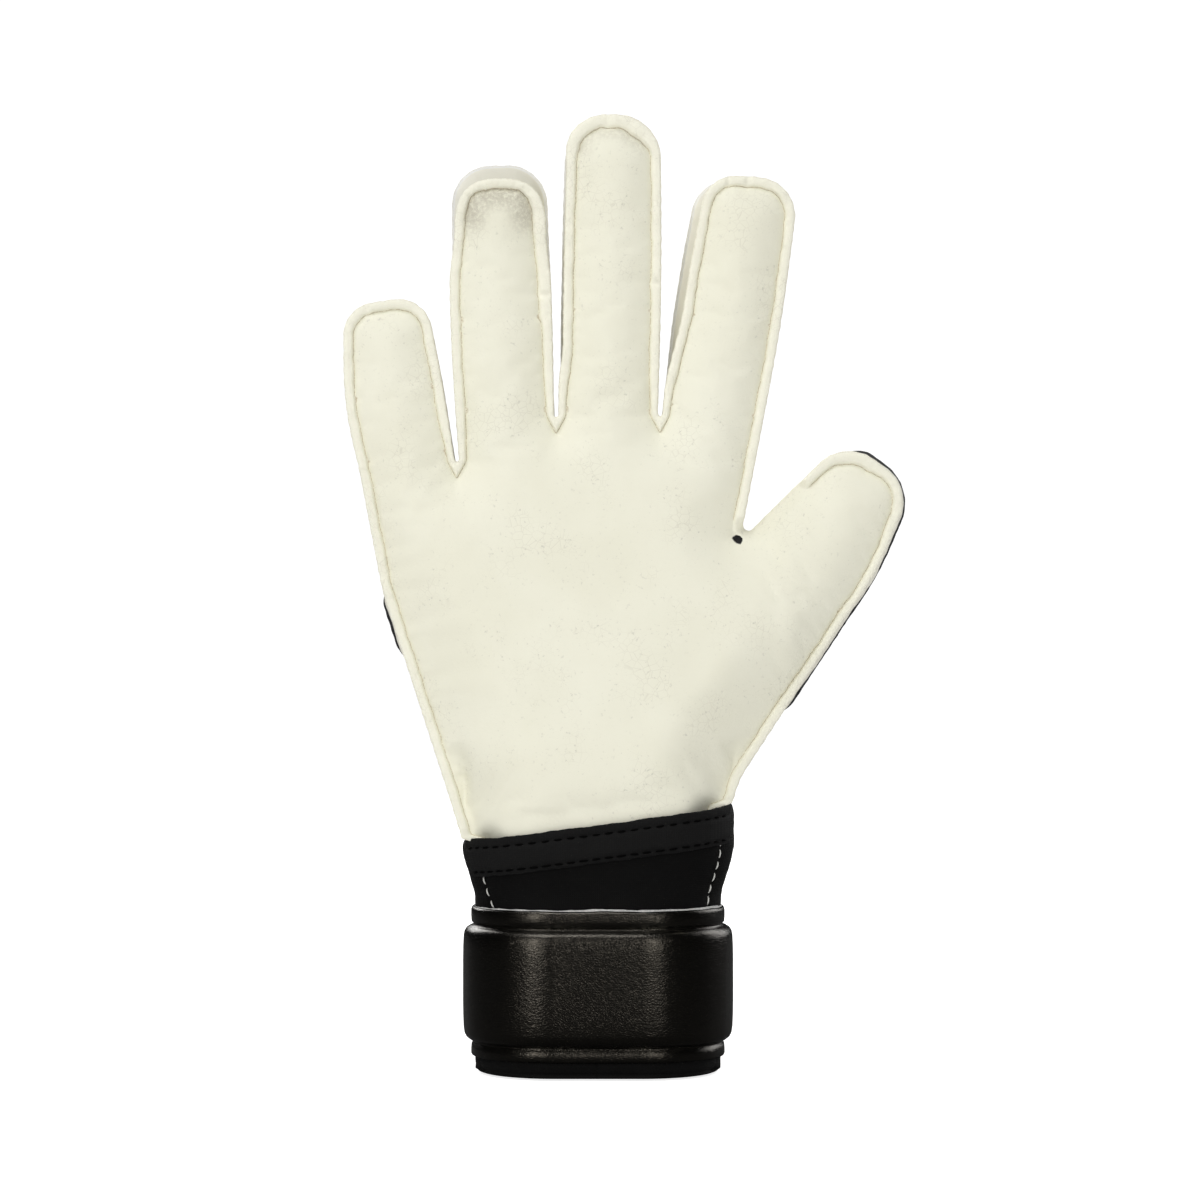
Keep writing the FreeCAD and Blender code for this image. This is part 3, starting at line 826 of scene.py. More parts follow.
class Wardrobe:
    """Every finish of the glove, by the record's slot names."""

    def __init__(self) -> None:
        """Builds the finishes."""
        effects = Effects()
        cream, shade = (0.865, 0.858, 0.735), (0.825, 0.815, 0.685)
        finishes = {
            "palm_latex": LatexFinish("Palm latex", cream, shade),
            # the gusset takes the palm's cream about a tenth darker: painted shade of the side walls
            "gusset_latex": LatexFinish("Gusset latex", (0.78, 0.76, 0.66), (0.70, 0.68, 0.58), pores=0.2),
            "back_white": LatexFinish(
                "White back foam", (0.83, 0.83, 0.80), (0.78, 0.78, 0.745), seam=(0.5, 0.48, 0.43),
                cut=(0.88, 0.88, 0.85), pores=0.12
            ),
            "back_black": LatexFinish(
                "Black back foam", (0.012, 0.012, 0.013), (0.018, 0.018, 0.019), seam=(0.004, 0.004, 0.004),
                raw=(0.03, 0.03, 0.03), cut=(0.016, 0.016, 0.016), worn=(0.02, 0.02, 0.02), pores=0.5,
                sheen=0.1
            ),
            "lining": TextileFinish(
                "Lining knit", (0.045, 0.045, 0.048), (0.03, 0.03, 0.032), 0.85, yarns=900.0
            ),
            "cuff_textile": TextileFinish(
                "Cuff cloth", (0.0038, 0.0038, 0.0039), (0.0050, 0.0050, 0.0051), 0.62, yarns=1900.0,
                depth=0.00004, sheen=0.01, gloss=0.08
            ),
            "band_textile": TextileFinish(
                "Band cloth", (0.0072, 0.0072, 0.0074), (0.0090, 0.0090, 0.0092), 0.7, yarns=1700.0,
                depth=0.00005, sheen=0.02, gloss=0.10
            ),
            "binding": TextileFinish(
                "Binding tape", (0.0035, 0.0035, 0.0035), (0.0055, 0.0055, 0.0055), 0.6, yarns=1300.0,
                depth=0.00007, sheen=0.02, gloss=0.10
            ),
            "black_thread": TextileFinish(
                "Black thread", (0.0012, 0.0012, 0.0012), (0.002, 0.002, 0.002), 0.6, yarns=2600.0,
                sheen=0.0, gloss=0.05
            ),
            "white_thread": TextileFinish(
                "White thread", (0.80, 0.80, 0.77), (0.70, 0.70, 0.67), 0.6, yarns=2600.0
            ),
            "strap_facing": HideFinish(
                "Strap hide", (0.0010, 0.0010, 0.0009), (0.0015, 0.0015, 0.0013), 0.27
            ),
            "strap_foam": LatexFinish(
                "Strap laminate", (0.55, 0.55, 0.54), (0.40, 0.40, 0.40), raw=(0.30, 0.30, 0.30),
                cut=(0.62, 0.62, 0.61), pores=0.6
            ),
            "loop_pile": TextileFinish(
                "Loop pile", (0.010, 0.010, 0.010), (0.018, 0.018, 0.018), 0.9, yarns=800.0, depth=0.0004,
                sheen=0.4
            ),
            "hook_tape": TextileFinish(
                "Hook tape", (0.012, 0.012, 0.012), (0.016, 0.016, 0.016), 0.4, yarns=650.0, depth=0.0005,
                gloss=0.5
            ),
            "pull_tab": HideFinish(
                "Pull tab", (0.010, 0.010, 0.010), (0.016, 0.016, 0.016), 0.4, grain=1400.0
            ),
        }
        self.made = {slot: finish.make(effects) for slot, finish in finishes.items()}

    def __getitem__(self, slot: str) -> bpy.types.Material:
        """The finish for a slot."""
        return self.made[slot]


# ---------------------------------------------------------------- the hand


@dataclass(frozen=True)
class Digit:
    """One finger or the thumb, on its own axis: u across, s along."""

    name: str
    root: tuple[float, float]
    lean: float
    half_width: float
    tip_half_width: float
    length: float
    tip_radius: float
    half_depth: float
    curl: float
    bends: tuple[tuple[float, float], ...]
    bulge: tuple[float, float] = (0.0, 0.0)

    def at(self, u: float, s: float) -> tuple[float, float]:
        """A place on the glove's plane.

        Args:
            u: across.
            s: along.

        Returns:
            x and z.
        """
        c, n = math.cos(math.radians(self.lean)), math.sin(math.radians(self.lean))
        return self.root[0] + u * c + s * n, self.root[1] - u * n + s * c

    def along(self, points: Array) -> Array:
        """How far along the digit points are.

        Args:
            points: x and z, (n, 2).

        Returns:
            s of each.
        """
        c, n = math.cos(math.radians(self.lean)), math.sin(math.radians(self.lean))
        return (points[:, 0] - self.root[0]) * n + (points[:, 1] - self.root[1]) * c

    def cuts(self) -> tuple[float, ...]:
        """Where the skin is parted: before the first bend, and between the two."""
        first = self.bends[0][0] / 2.0
        return (first,) if len(self.bends) == 1 else (first, (self.bends[0][1] + self.bends[1][0]) / 2.0)

    def bodies(self) -> tuple[str, ...]:
        """The bodies along the digit, root first."""
        return ("hand", "thumb_tip") if self.name == "thumb" else (
            "hand", f"{self.name}_base", f"{self.name}_tip"
        )


DIGITS = (
    Digit("little", (-53.9, 172.5), -8.4, 13.7, 12.4, 45.5, 9.5, 11.0, 3.0, ((2, 18), (21, 35)), (1.5, 0.3)),
    Digit("ring", (-26.5, 185.0), -1.5, 14.1, 14.1, 72.4, 11.5, 12.0, 8.0, ((3, 25), (30, 52)), (0.9, 0.3)),
    Digit("middle", (2.9, 185.0), 0.8, 13.9, 13.9, 85.0, 12.5, 12.0, 3.0, ((3, 25), (35, 57)), (0.3, 0.5)),
    Digit("index", (32.6, 185.0), 8.3, 14.3, 14.9, 68.5, 11.0, 12.0, 2.0, ((3, 25), (30, 52)), (1.0, 0.6)),
    Digit("thumb", (53.9, 138.3), 37.5, 18.8, 12.5, 42.0, 12.0, 12.5, 4.0, ((4, 22),), (0.0, 1.2)),
)


@dataclass(frozen=True)
class Place:
    """A stretch of the glove's plane where a value holds, fading out over its reach."""

    start: tuple[float, float]
    end: tuple[float, float]
    reach: float
    value: float

    def weigh(self, points: Array) -> Array:
        """The value at points.

        Args:
            points: x and z, (n, 2).

        Returns:
            The value where the place holds, fading to 0.
        """
        gap, _ = to_segment(points, self.start, self.end)
        return self.value * smooth(self.reach, self.reach * 0.45, gap)


@dataclass(frozen=True)
class Stretch:
    """A stretch of the seam line where a value holds, fading out past both ends."""

    start: tuple[float, float]
    end: tuple[float, float]
    fade: float
    value: float

    def weigh(self, seam: SeamLine) -> Array:
        """The value at each station.

        Args:
            seam: the seam line.

        Returns:
            The value where the stretch holds, fading to 0.
        """
        ends = [
            seam.travel[np.hypot(*(seam.places - np.array(p)).T).argmin()] for p in (self.start, self.end)
        ]
        t = seam.travel
        return self.value * smooth(min(ends) - self.fade, min(ends), t) * smooth(
            max(ends) + self.fade, max(ends), t
        )


@dataclass
class SeamLine:
    """The outline where palm, gusset and back are sewn, as closely spaced stations."""

    step: float = 1.0
    slit: float = 0.5
    places: Array = field(init=False)
    inward: Array = field(init=False)
    travel: Array = field(init=False)
    regions: Array = field(init=False)
    marks: dict[str, list[int]] = field(init=False)

    def corners(self) -> list[tuple[float, float, float, int]]:
        """The outline's corners in order.

        Returns:
            x, z, radius and the digit that the next side belongs to, or -1.
        """
        little, ring, middle, index, thumb = DIGITS
        found: list[tuple[float, float, float, int]] = [
            (-35.6, 60.5, 0.0, -1), (-38.4, 66.5, 6.0, -1), (-42.1, 78.5, 25.0, -1), (-60.8, 136.0, 60.0, -1),
            (*little.at(-little.half_width, 0.0), 6.0, 0),
        ]
        slits = ((-39.7, 172.4), (-11.75, 185.0), (17.45, 185.2))
        for k, digit in enumerate((little, ring, middle, index)):
            found.append((*digit.at(-digit.tip_half_width, digit.length), digit.tip_radius, k))
            found.append((*digit.at(digit.tip_half_width, digit.length), digit.tip_radius, k))
            if k < 3:
                x, z = slits[k]
                found.append((x - self.slit, z, self.slit * 0.97, -1))
                found.append((x + self.slit, z, self.slit * 0.97, k + 1))
        found.append((46.6, 183.5, 25.0, -1))
        found.append((40.1, 149.9, 1.5, 4))
        found.append((*thumb.at(-thumb.tip_half_width, thumb.length), thumb.tip_radius, 4))
        found.append((*thumb.at(thumb.tip_half_width, thumb.length), thumb.tip_radius, 4))
        found += [
            (68.8, 127.0, 14.0, -1), (39.9, 83.0, 22.0, -1), (37.9, 76.2, 6.0, -1), (35.6, 69.8, 0.0, -1)
        ]
        return found

    def __post_init__(self) -> None:
        """Walks the outline and marks where each digit is parted."""
        corners = self.corners()
        xy = np.array([c[:2] for c in corners])
        trims = [0.0] * len(corners)
        arcs: list[Array] = [xy[:1]] + [np.empty((0, 2))] * (len(corners) - 1)
        for k in range(1, len(corners) - 1):
            into = (xy[k] - xy[k - 1]) / np.linalg.norm(xy[k] - xy[k - 1])
            out = (xy[k + 1] - xy[k]) / np.linalg.norm(xy[k + 1] - xy[k])
            turn = math.acos(float(np.clip(into @ out, -1.0, 1.0)))
            radius = corners[k][2]
            trims[k] = radius * math.tan(turn / 2.0)
            side = np.array([into[1], -into[0]]) * (1.0 if into[0] * out[1] - into[1] * out[0] < 0 else -1.0)
            centre = xy[k] - into * trims[k] + side * radius
            count = max(2, math.ceil(radius * turn / self.step), math.ceil(turn / math.radians(11.0)))
            angles = np.linspace(0.0, turn, count + 1)
            arcs[k] = centre - side * radius * np.cos(angles)[:, None] + into * radius * np.sin(angles)[:, None]
        arcs[-1] = xy[-1:]
        points: list[Array] = []
        marks: dict[str, list[int]] = {}
        for k in range(len(corners)):
            points += list(arcs[k])
            if k == len(corners) - 1:
                break
            self._side(points, marks, arcs[k][-1], arcs[k + 1][0], corners, k)
        self.marks = marks
        self.places = np.array(points)
        crotch = min(
            range(len(points)), key=lambda i: np.linalg.norm(self.places[i] - np.array([42.6, 152.6]))
        )
        marks.setdefault("thumb_0", []).insert(0, crotch)
        ahead = np.gradient(self.places, axis=0)
        ahead /= np.linalg.norm(ahead, axis=1)[:, None]
        self.inward = np.stack([ahead[:, 1], -ahead[:, 0]], axis=1)
        self.travel = np.concatenate([[0.0], np.cumsum(np.linalg.norm(np.diff(self.places, axis=0), axis=1))])
        self.regions = np.zeros(len(self.places) - 1, int)
        for k, digit in enumerate(DIGITS):
            low = marks[f"{digit.name}_0"]
            self.regions[low[0] : low[1]] = 1 + 2 * k
            if f"{digit.name}_1" in marks:
                high = marks[f"{digit.name}_1"]
                self.regions[high[0] : high[1]] = 2 + 2 * k

    def _side(
        self, points: list[Array], marks: dict[str, list[int]], a: Array, b: Array, corners: list, k: int
    ) -> None:
        """Adds the stations of one side, with its bulge and the stations where a digit is parted.

        Args:
            points: the stations so far.
            marks: the parting stations so far.
            a: where the side starts.
            b: where it ends.
            corners: the outline's corners.
            k: the corner that it leaves.
        """
        run = b - a
        length = float(np.linalg.norm(run))
        shares = list(np.linspace(0.0, 1.0, max(2, math.ceil(length / self.step)) + 1)[1:-1])
        owner, bulge = -1, 0.0
        for d, digit in enumerate(DIGITS):
            tip_left = digit.at(-digit.tip_half_width, digit.length)
            tip_right = digit.at(digit.tip_half_width, digit.length)
            if np.allclose(corners[k + 1][:2], tip_left):
                owner, bulge = d, digit.bulge[0]
            if np.allclose(corners[k][:2], tip_right):
                owner, bulge = d, digit.bulge[1]
        named: dict[float, str] = {}
        if owner >= 0:
            digit = DIGITS[owner]
            s = digit.along(np.array([a, b]))
            for n, cut in enumerate(digit.cuts()):
                if min(s) < cut < max(s):
                    share = float((cut - s[0]) / (s[1] - s[0]))
                    shares = [v for v in shares if abs(v - share) * length > 0.45]
                    shares.append(share)
                    named[share] = f"{digit.name}_{n}"
        normal = np.array([run[1], -run[0]]) / length
        for share in sorted(shares):
            if share in named:
                marks.setdefault(named[share], []).append(len(points))
            points.append(a + run * share - normal * bulge * math.sin(math.pi * share))


class Layer(Enum):
    """The three skins of the glove."""

    PALM = 0
    GUSSET = 1
    BACK = 2


@dataclass
class Skin:
    """Palm, gusset and back as one sewn skin, parted at the joints at the end."""

    wardrobe: Wardrobe
    seam: SeamLine = field(default_factory=SeamLine)
    groove: float = 2.95
    lip_height: float = 1.15
    grid: float = 2.1
    sim_scale: float = 10.0
    sim_frames: int = 22
    sim_cap: float = 1.5
    cuff_left: tuple[float, float] = (-38.0, 65.8)
    cuff_right: tuple[float, float] = (37.4, 75.8)

    palm_insets = (
        Stretch((22.3, 216.0), (27.0, 243.0), 26.0, 2.7),
        Stretch((-10.6, 205.0), (-9.8, 255.0), 12.0, 1.1),
    )
    back_insets = (
        Stretch((-66.0, 165.0), (-60.5, 139.0), 4.0, 1.2),
        Stretch((-53.0, 112.0), (-40.0, 72.0), 6.0, 1.4),
        Stretch((50.0, 98.0), (39.5, 76.0), 5.0, 1.4),
        Stretch((77.0, 174.0), (55.5, 105.0), 10.0, -2.3),
        Stretch((-58.6, 132.0), (-55.8, 121.5), 8.0, -2.3),
    )
    dark_edges = (
        Stretch((-58.6, 132.0), (-55.8, 121.5), 3.0, 1.0),
        Stretch((74.0, 175.2), (77.5, 173.5), 2.6, 1.0),
        Stretch((82.4, 166.5), (83.8, 152.5), 4.0, 1.0),
        Stretch((80.3, 146.0), (79.0, 143.6), 2.4, 0.9),
        Stretch((75.0, 138.0), (70.6, 130.5), 3.2, 1.0),
        Stretch((65.6, 121.5), (55.5, 105.5), 4.5, 1.0),
    )
    slit_ends = ((-39.7, 172.2), (-11.75, 184.8), (17.45, 185.0))
    slit_drop = 4.9
    slit_half = 2.25
    wide_lips = (
        Stretch((-8.0, 261.0), (13.0, 266.0), 7.0, 0.9),
        Stretch((11.5, 268.0), (15.5, 264.0), 6.0, 0.9),
        Stretch((-14.0, 214.0), (-16.0, 248.0), 7.0, 0.9),
        Stretch((76.0, 172.5), (70.0, 174.0), 8.0, 0.9),
        Stretch((79.0, 145.0), (60.0, 113.0), 9.0, -0.5),
    )
    notches = ((3.1, 269.6), (36.9, 253.2), (42.0, 251.5), (-12.6, 219.2), (-66.0, 216.5), (15.6, 222.6))

    def lip_share(self) -> Array:
        """How much of a raised lip each station has: none where the thumb's edge rolls over."""
        return 1.0 - Stretch((39.8, 150.4), (57.0, 164.6), 3.2, 1.0).weigh(self.seam)

    def arch(self) -> Array:
        """How far the ring finger's palm edge draws in to a rounded end of its own.

        Returns:
            The distance at each station, mm.
        """
        at, steps = self.seam.places, np.linspace(0.0, 14.0, 141)
        tried = at[:, None, :] + steps[None, :, None] * self.seam.inward[:, None, :]
        centre, half_width, foot, rise, roundness, reach = -27.4, 13.05, 236.8, 15.0, 2.7, 17.0
        across = np.abs(tried[..., 0] - centre) / half_width
        along = np.maximum(tried[..., 1] - foot, 0.0) / rise
        reached = (across**roundness + along**roundness <= 1.0).argmax(axis=1)
        return steps[reached] * (np.abs(at[:, 0] - centre) < reach) * smooth(222.0, 238.0, at[:, 1])

    @staticmethod
    def edge_depth(at: Array) -> Array:
        """How far the seam lies from the middle plane.

        Args:
            at: places, (n, 2).

        Returns:
            The depth.
        """
        return np.interp(at[:, 1], (60.0, 78.0, 110.0, 170.0, 190.0, 275.0), (12.2, 10.8, 9.2, 8.2, 8.0, 7.6))

    @staticmethod
    def crown_depth(at: Array) -> Array:
        """How far the skin stands from the middle plane away from its seams.

        Args:
            at: places, (n, 2).

        Returns:
            The depth.
        """
        depth = np.interp(
            at[:, 1], (60.0, 84.0, 108.0, 142.0, 170.0, 190.0, 275.0),
            (23.7, 23.0, 20.0, 15.8, 12.8, 12.3, 11.6)
        )
        return depth * (1.0 - 0.10 * smooth(38.0, 75.0, np.abs(at[:, 0])))

    @staticmethod
    def wrist_depth(at: Array) -> Array:
        """Half depth of the wrist's rounded section, just outside the flared cuff.

        Args:
            at: places, (n, 2).

        Returns:
            The half depth.
        """
        flare = smooth(47.5, 65.0, at[:, 1])
        deep, flat = 21.6 + 1.6 * flare, 12.0 + 2.2 * flare
        return np.sqrt(np.maximum((deep + 0.45) ** 2 - np.maximum(np.abs(at[:, 0]) - flat, 0.0) ** 2, 4.0))

    creases = (
        ((-40.0, 156.0), (-46.0, 146.0), 0.5, 2.6),
        ((36.0, 154.0), (41.0, 147.5), 1.3, 1.8),
        ((31.0, 150.5), (38.5, 148.0), 0.6, 2.0),
        ((30.0, 103.0), (26.0, 125.0), 0.7, 7.0),
        ((-20.0, 176.0), (-2.0, 173.0), 0.25, 4.0),
        ((-34.0, 92.0), (-38.0, 106.0), 0.35, 3.5),
        ((-10.0, 138.0), (14.0, 140.0), 0.3, 7.0),
        ((2.0, 212.0), (9.0, 207.0), 0.2, 3.0),
        ((-30.0, 214.0), (-22.0, 210.0), 0.2, 3.0),
    )

    def depth(self, at: Array, gap: Array, edge: Array, back: bool) -> Array:
        """The skin's distance from the middle plane inside its seams.

        Args:
            at: places, (n, 2).
            gap: their distances from the seam.
            edge: the seam's depth by each.
            back: whether it is the back.

        Returns:
            The depth.
        """
        reach = np.interp(at[:, 1], (70.0, 120.0, 178.0, 275.0), (25.0, 22.0, 11.5, 10.5))
        reach = reach + (13.0 - reach) * smooth(46.0, 56.0, at[:, 0]) * smooth(200.0, 175.0, at[:, 1])
        share = np.sin(0.5 * math.pi * np.clip(gap / reach, 0.0, 1.0)) ** 0.82
        depth = edge + (self.crown_depth(at) - edge) * share
        wrist = smooth(104.0, 72.0, at[:, 1])
        near = np.sin(0.5 * math.pi * np.clip(gap / 6.5, 0.0, 1.0))
        under = 0.3 * smooth(2.5, 0.0, at[:, 1] - self.cuff_line(at[:, 0]))
        round_ = edge + (self.wrist_depth(at) - under - edge) * near
        depth = depth + (round_ - depth) * wrist
        if not back:
            for start, end, deep, wide in self.creases:
                far, share = to_segment(at, start, end)
                depth = depth - deep * np.exp(-((far / wide) ** 2)) * np.sin(
                    math.pi * np.clip(share, 0.12, 0.88)
                )
        else:
            depth = depth - self.back_channels(at, gap)
        return depth

    @staticmethod
    def back_channels(at: Array, gap: Array) -> Array:
        """Flex channels pressed into the back.

        Args:
            at: places, (n, 2).
            gap: their distances from the seam.

        Returns:
            How deep the channels are at each.
        """
        deep = np.zeros(len(at))
        for digit in DIGITS:
            s = digit.along(at)
            beside = at[:, 0] - np.array([digit.at(0.0, v)[0] for v in s])
            own = (np.abs(beside) < digit.half_width + 4.0) & (s > 0.0)
            spots = np.arange(6.0, digit.length - 9.0, 11.0)
            dip = sum(np.exp(-(((s - spot) / 1.5) ** 2)) for spot in spots)
            deep = deep + 1.35 * dip * own * smooth(0.5, 4.0, gap)
        for line in (((-44.0, 88.0), (-56.0, 150.0)), ((36.0, 92.0), (39.0, 138.0))):
            far, _ = to_segment(at, *line)
            deep = deep + 0.9 * np.exp(-((far / 1.6) ** 2))
        return deep

    def sections(self) -> tuple[Array, Array, dict[str, Array]]:
        """The sewn edge at each station, from the palm's groove round to the back's groove.

        Returns:
            Its points (n, k, 3), the layer of each strip between them, and its masks (n, k).
        """
        at, t = self.seam.places, self.seam.travel
        edge = self.edge_depth(at)
        share = self.lip_share()
        tuck = 3.2 * smooth(0.8, -2.4, at[:, 1] - self.cuff_line(at[:, 0]))
        dark = sum(p.weigh(self.seam) for p in self.dark_edges)
        pin = sum(p.weigh(self.seam) for p in self.palm_insets) + tuck + self.arch()
        bin_ = sum(p.weigh(self.seam) for p in self.back_insets) + 0.35 + tuck
        groove = self.groove + 0.20 * ripple(1, t, 17.0) + 0.10 * ripple(2, t, 4.0)
        groove = groove + sum(p.weigh(self.seam) for p in self.wide_lips)
        groove, back_groove = self.vee(at, groove), self.vee(at, self.groove + 0.15 * ripple(11, t, 15.0))
        height = self.lip_height * (1.0 + 0.16 * ripple(3, t, 11.0) + 0.10 * ripple(4, t, 2.7))
        height = height * np.interp(t, (0.0, 9.0, t[-1] - 9.0, t[-1]), (0.15, 1.0, 1.0, 0.15))
        for spot in self.notches:
            far = np.hypot(at[:, 0] - spot[0], at[:, 1] - spot[1])
            near = t[far.argmin()]
            height = height * (1.0 - 0.75 * np.exp(-(((t - near) / 0.55) ** 2)))
            groove = groove + 0.35 * np.exp(-(((t - near) / 0.8) ** 2))
        ragged = 0.13 * ripple(5, t, 3.1) + 0.09 * ripple(6, t, 1.3)
        lip = (
            (1.0, -0.35), (0.93, 0.35), (0.84, 0.85), (0.62, 1.1), (0.32, 1.1), (0.1, 0.85), (0.0, 0.2),
            (0.12, -0.75), (0.36, -1.6)
        )
        roll = (
            (1.0, 0.0), (0.85, -0.4), (0.7, -0.8), (0.5, -1.3), (0.3, -1.85), (0.12, -2.35), (0.03, -2.8),
            (0.0, -3.1), (0.0, -3.4)
        )
        rows, masks = [], {"seam": [], "raw_edge": [], "stain": []}
        for k, ((q0, h0), (q1, h1)) in enumerate(zip(lip, roll)):
            q = share * (pin + groove * q0) + (1.0 - share) * (pin + groove * q1) + (
                ragged if 2 < k < 8 else 0.0
            )
            h = share * h0 * height + (1.0 - share) * h1
            rows.append((q, -(edge + h)))
            masks["seam"].append(np.where(k == 0, share, 0.0))
            masks["stain"].append(np.zeros(len(t)))
            masks["raw_edge"].append(share * (0.25, 0.5, 0.55, 0.35, 0.5, 0.9, 1.0, 0.9, 0.4)[k])
        wall = 0.45 + 0.25 * ripple(7, t, 23.0)
        for part in (0.2, 0.4, 0.6, 0.8):
            tuck = groove * 0.36 + (
                pin * (1.0 - part) + bin_ * part
            ) - (wall + 0.4) * math.sin(math.pi * part)
            rows.append((tuck, -(edge - 1.7) * (1.0 - 2.0 * part)))
            masks["seam"].append(np.zeros(len(t)))
            masks["stain"].append(dark * (part > 0.5))
            masks["raw_edge"].append(np.full(len(t), 0.15))
        back_height = self.lip_height * (0.8 + 0.14 * ripple(8, t, 9.0)) * np.interp(
            t, (0.0, 9.0, t[-1] - 9.0, t[-1]), (0.15, 1.0, 1.0, 0.15)
        )
        ragged = 0.12 * ripple(9, t, 3.3) + 0.08 * ripple(10, t, 1.4)
        for k, (q0, h0) in reversed(list(enumerate(lip))):
            rows.append((bin_ + back_groove * q0 + (ragged if 2 < k < 8 else 0.0), edge + h0 * back_height))
            masks["seam"].append(np.full(len(t), float(k == 0)))
            masks["stain"].append(dark)
            masks["raw_edge"].append(np.full(len(t), (0.25, 0.5, 0.55, 0.35, 0.5, 0.9, 1.0, 0.9, 0.4)[k]))
        q = np.stack([r[0] for r in rows], axis=1)
        y = np.stack([r[1] for r in rows], axis=1)
        flat = at[:, None, :] + q[..., None] * self.seam.inward[:, None, :]
        points = np.stack([flat[..., 0], y, flat[..., 1]], axis=-1)
        layers = np.array([0] * 8 + [1] * 5 + [2] * 8)
        return points, layers, {key: np.stack(value, axis=1) for key, value in masks.items()}

    def vee(self, at: Array, groove: Array) -> Array:
        """Draws the groove to a point below each slit.

        Args:
            at: stations, (n, 2).
            groove: the groove's distance from the outline at each.

        Returns:
            The distances, with a V at each slit's end.
        """
        down = np.clip(-self.seam.inward[:, 1], 0.0, 1.0)
        side = np.sqrt(1.0 - down**2)
        point = self.slit_drop * self.slit_half / (self.slit_half * down + self.slit_drop * side)
        for x, z in self.slit_ends:
            near = smooth(13.0, 1.2, np.hypot(at[:, 0] - x, at[:, 1] - z))
            groove = groove + (point - groove) * near
        return groove

    def between(self, a: Array, b: Array) -> Array:
        """The evenly spaced points between two places, without the two themselves."""
        return np.linspace(a, b, max(2, math.ceil(np.linalg.norm(b - a) / self.grid)) + 1)[1:-1]

    def panel(self, ring: Array) -> tuple[Array, Array, Array]:
        """Fills the space inside a ring of groove points with a fine mesh.

        Args:
            ring: the groove's places, (n, 2).

        Returns:
            The places, the triangles and the region of each triangle.
        """
        count = len(ring)
        hem = self.between(ring[-1], ring[0])
        rows, joins = [], [(i, (i + 1)) for i in range(count - 1)]
        places = [ring, hem]
        total = count + len(hem)
        chain = [count - 1, *range(count, total), 0]
        joins += list(zip(chain[:-1], chain[1:]))
        blocked: set[tuple[int, int]] = set()
        for _, (left, right) in sorted(self.seam.marks.items()):
            row = self.between(ring[left], ring[right])
            chain = [left, *range(total, total + len(row)), right]
            joins += list(zip(chain[:-1], chain[1:]))
            blocked |= {tuple(sorted(pair)) for pair in zip(chain[:-1], chain[1:])}
            rows.append(np.vstack([ring[left], row, ring[right]]))
            places.append(row)
            total += len(row)
        closed = np.vstack([ring, hem])
        loop = np.vstack([closed, closed[:1]])
        ahead = np.gradient(ring, axis=0)
        ahead /= np.maximum(np.linalg.norm(ahead, axis=1)[:, None], 1e-9)
        normal = np.stack([ahead[:, 1], -ahead[:, 0]], axis=1)
        offsets, picks = (0.42, 1.15, 2.3), []
        for n, offset in enumerate(offsets):
            kept = (ring + normal * offset)[:: 1 if n < 2 else 2]
            gap, _ = to_line(kept, loop)
            picks.append(kept[inside(kept, closed) & (gap > offset * 0.93)])
        low, high = closed.min(0), closed.max(0)
        xs = np.arange(low[0], high[0], self.grid)
        zs = np.arange(low[1], high[1], self.grid * 0.866)
        hexes = np.array([(x + (0.5 * self.grid if n % 2 else 0.0), z) for n, z in enumerate(zs) for x in xs])
        hexes = hexes[inside(hexes, closed)]
        gap, _ = to_line(hexes, loop)
        picks.append(hexes[gap > offsets[-1] + 0.55 * self.grid])
        free = np.vstack(picks)
        for row in rows:
            gap, _ = to_line(free, row)
            free = free[gap > 0.75]
        thin = np.ones(len(free), bool)
        cells: dict[tuple[int, int], list[int]] = {}
        for i, (x, z) in enumerate(free):
            cell = (int(x // 0.5), int(z // 0.5))
            close = [
                j for a in (-1, 0, 1) for c in (-1, 0, 1) for j in cells.get((cell[0] + a, cell[1] + c), ())
            ]
            if any(np.hypot(*(free[j] - free[i])) < 0.32 for j in close):
                thin[i] = False
                continue
            cells.setdefault(cell, []).append(i)
        places.append(free[thin])
        flat = np.vstack(places)
        out = geometry.delaunay_2d_cdt([Vector(p) for p in flat], joins, [], 1, 1e-5)
        if len(out[0]) != len(flat):
            log.info("panel points changed from %d to %d", len(flat), len(out[0]))
        order = np.array([ids[0] if ids else -1 for ids in out[3]])
        faces = np.array([[order[i] for i in f] for f in out[2]])
        return flat, faces, self._regions(flat, faces, blocked)

    @staticmethod
    def _regions(flat: Array, faces: Array, blocked: set[tuple[int, int]]) -> Array:
        """Spreads region numbers over triangles, stopped by the parting rows.

        Args:
            flat: places, (n, 2).
            faces: triangles.
            blocked: the edges of the parting rows.

        Returns:
            The region of each triangle.
        """
        beside: dict[tuple[int, int], list[int]] = {}
        for n, face in enumerate(faces):
            for a, b in ((face[0], face[1]), (face[1], face[2]), (face[2], face[0])):
                beside.setdefault((min(a, b), max(a, b)), []).append(n)
        middles = flat[faces].mean(1)
        region = np.full(len(faces), -1)
        seeds = [((0.0, 120.0), 0)]
        for k, digit in enumerate(DIGITS):
            cuts = digit.cuts()
            seeds.append((digit.at(0.0, cuts[0] + 4.0), 1 + 2 * k))
            if len(cuts) > 1:
                seeds.append((digit.at(0.0, cuts[1] + 4.0), 2 + 2 * k))
        for spot, number in seeds:
            first = int(np.hypot(*(middles - np.array(spot)).T).argmin())
            stack = [first]
            region[first] = number
            while stack:
                face = faces[stack.pop()]
                for a, b in ((face[0], face[1]), (face[1], face[2]), (face[2], face[0])):
                    key = (int(min(a, b)), int(max(a, b)))
                    if key in blocked:
                        continue
                    for n in beside[key]:
                        if region[n] < 0:
                            region[n] = number
                            stack.append(n)
        return region

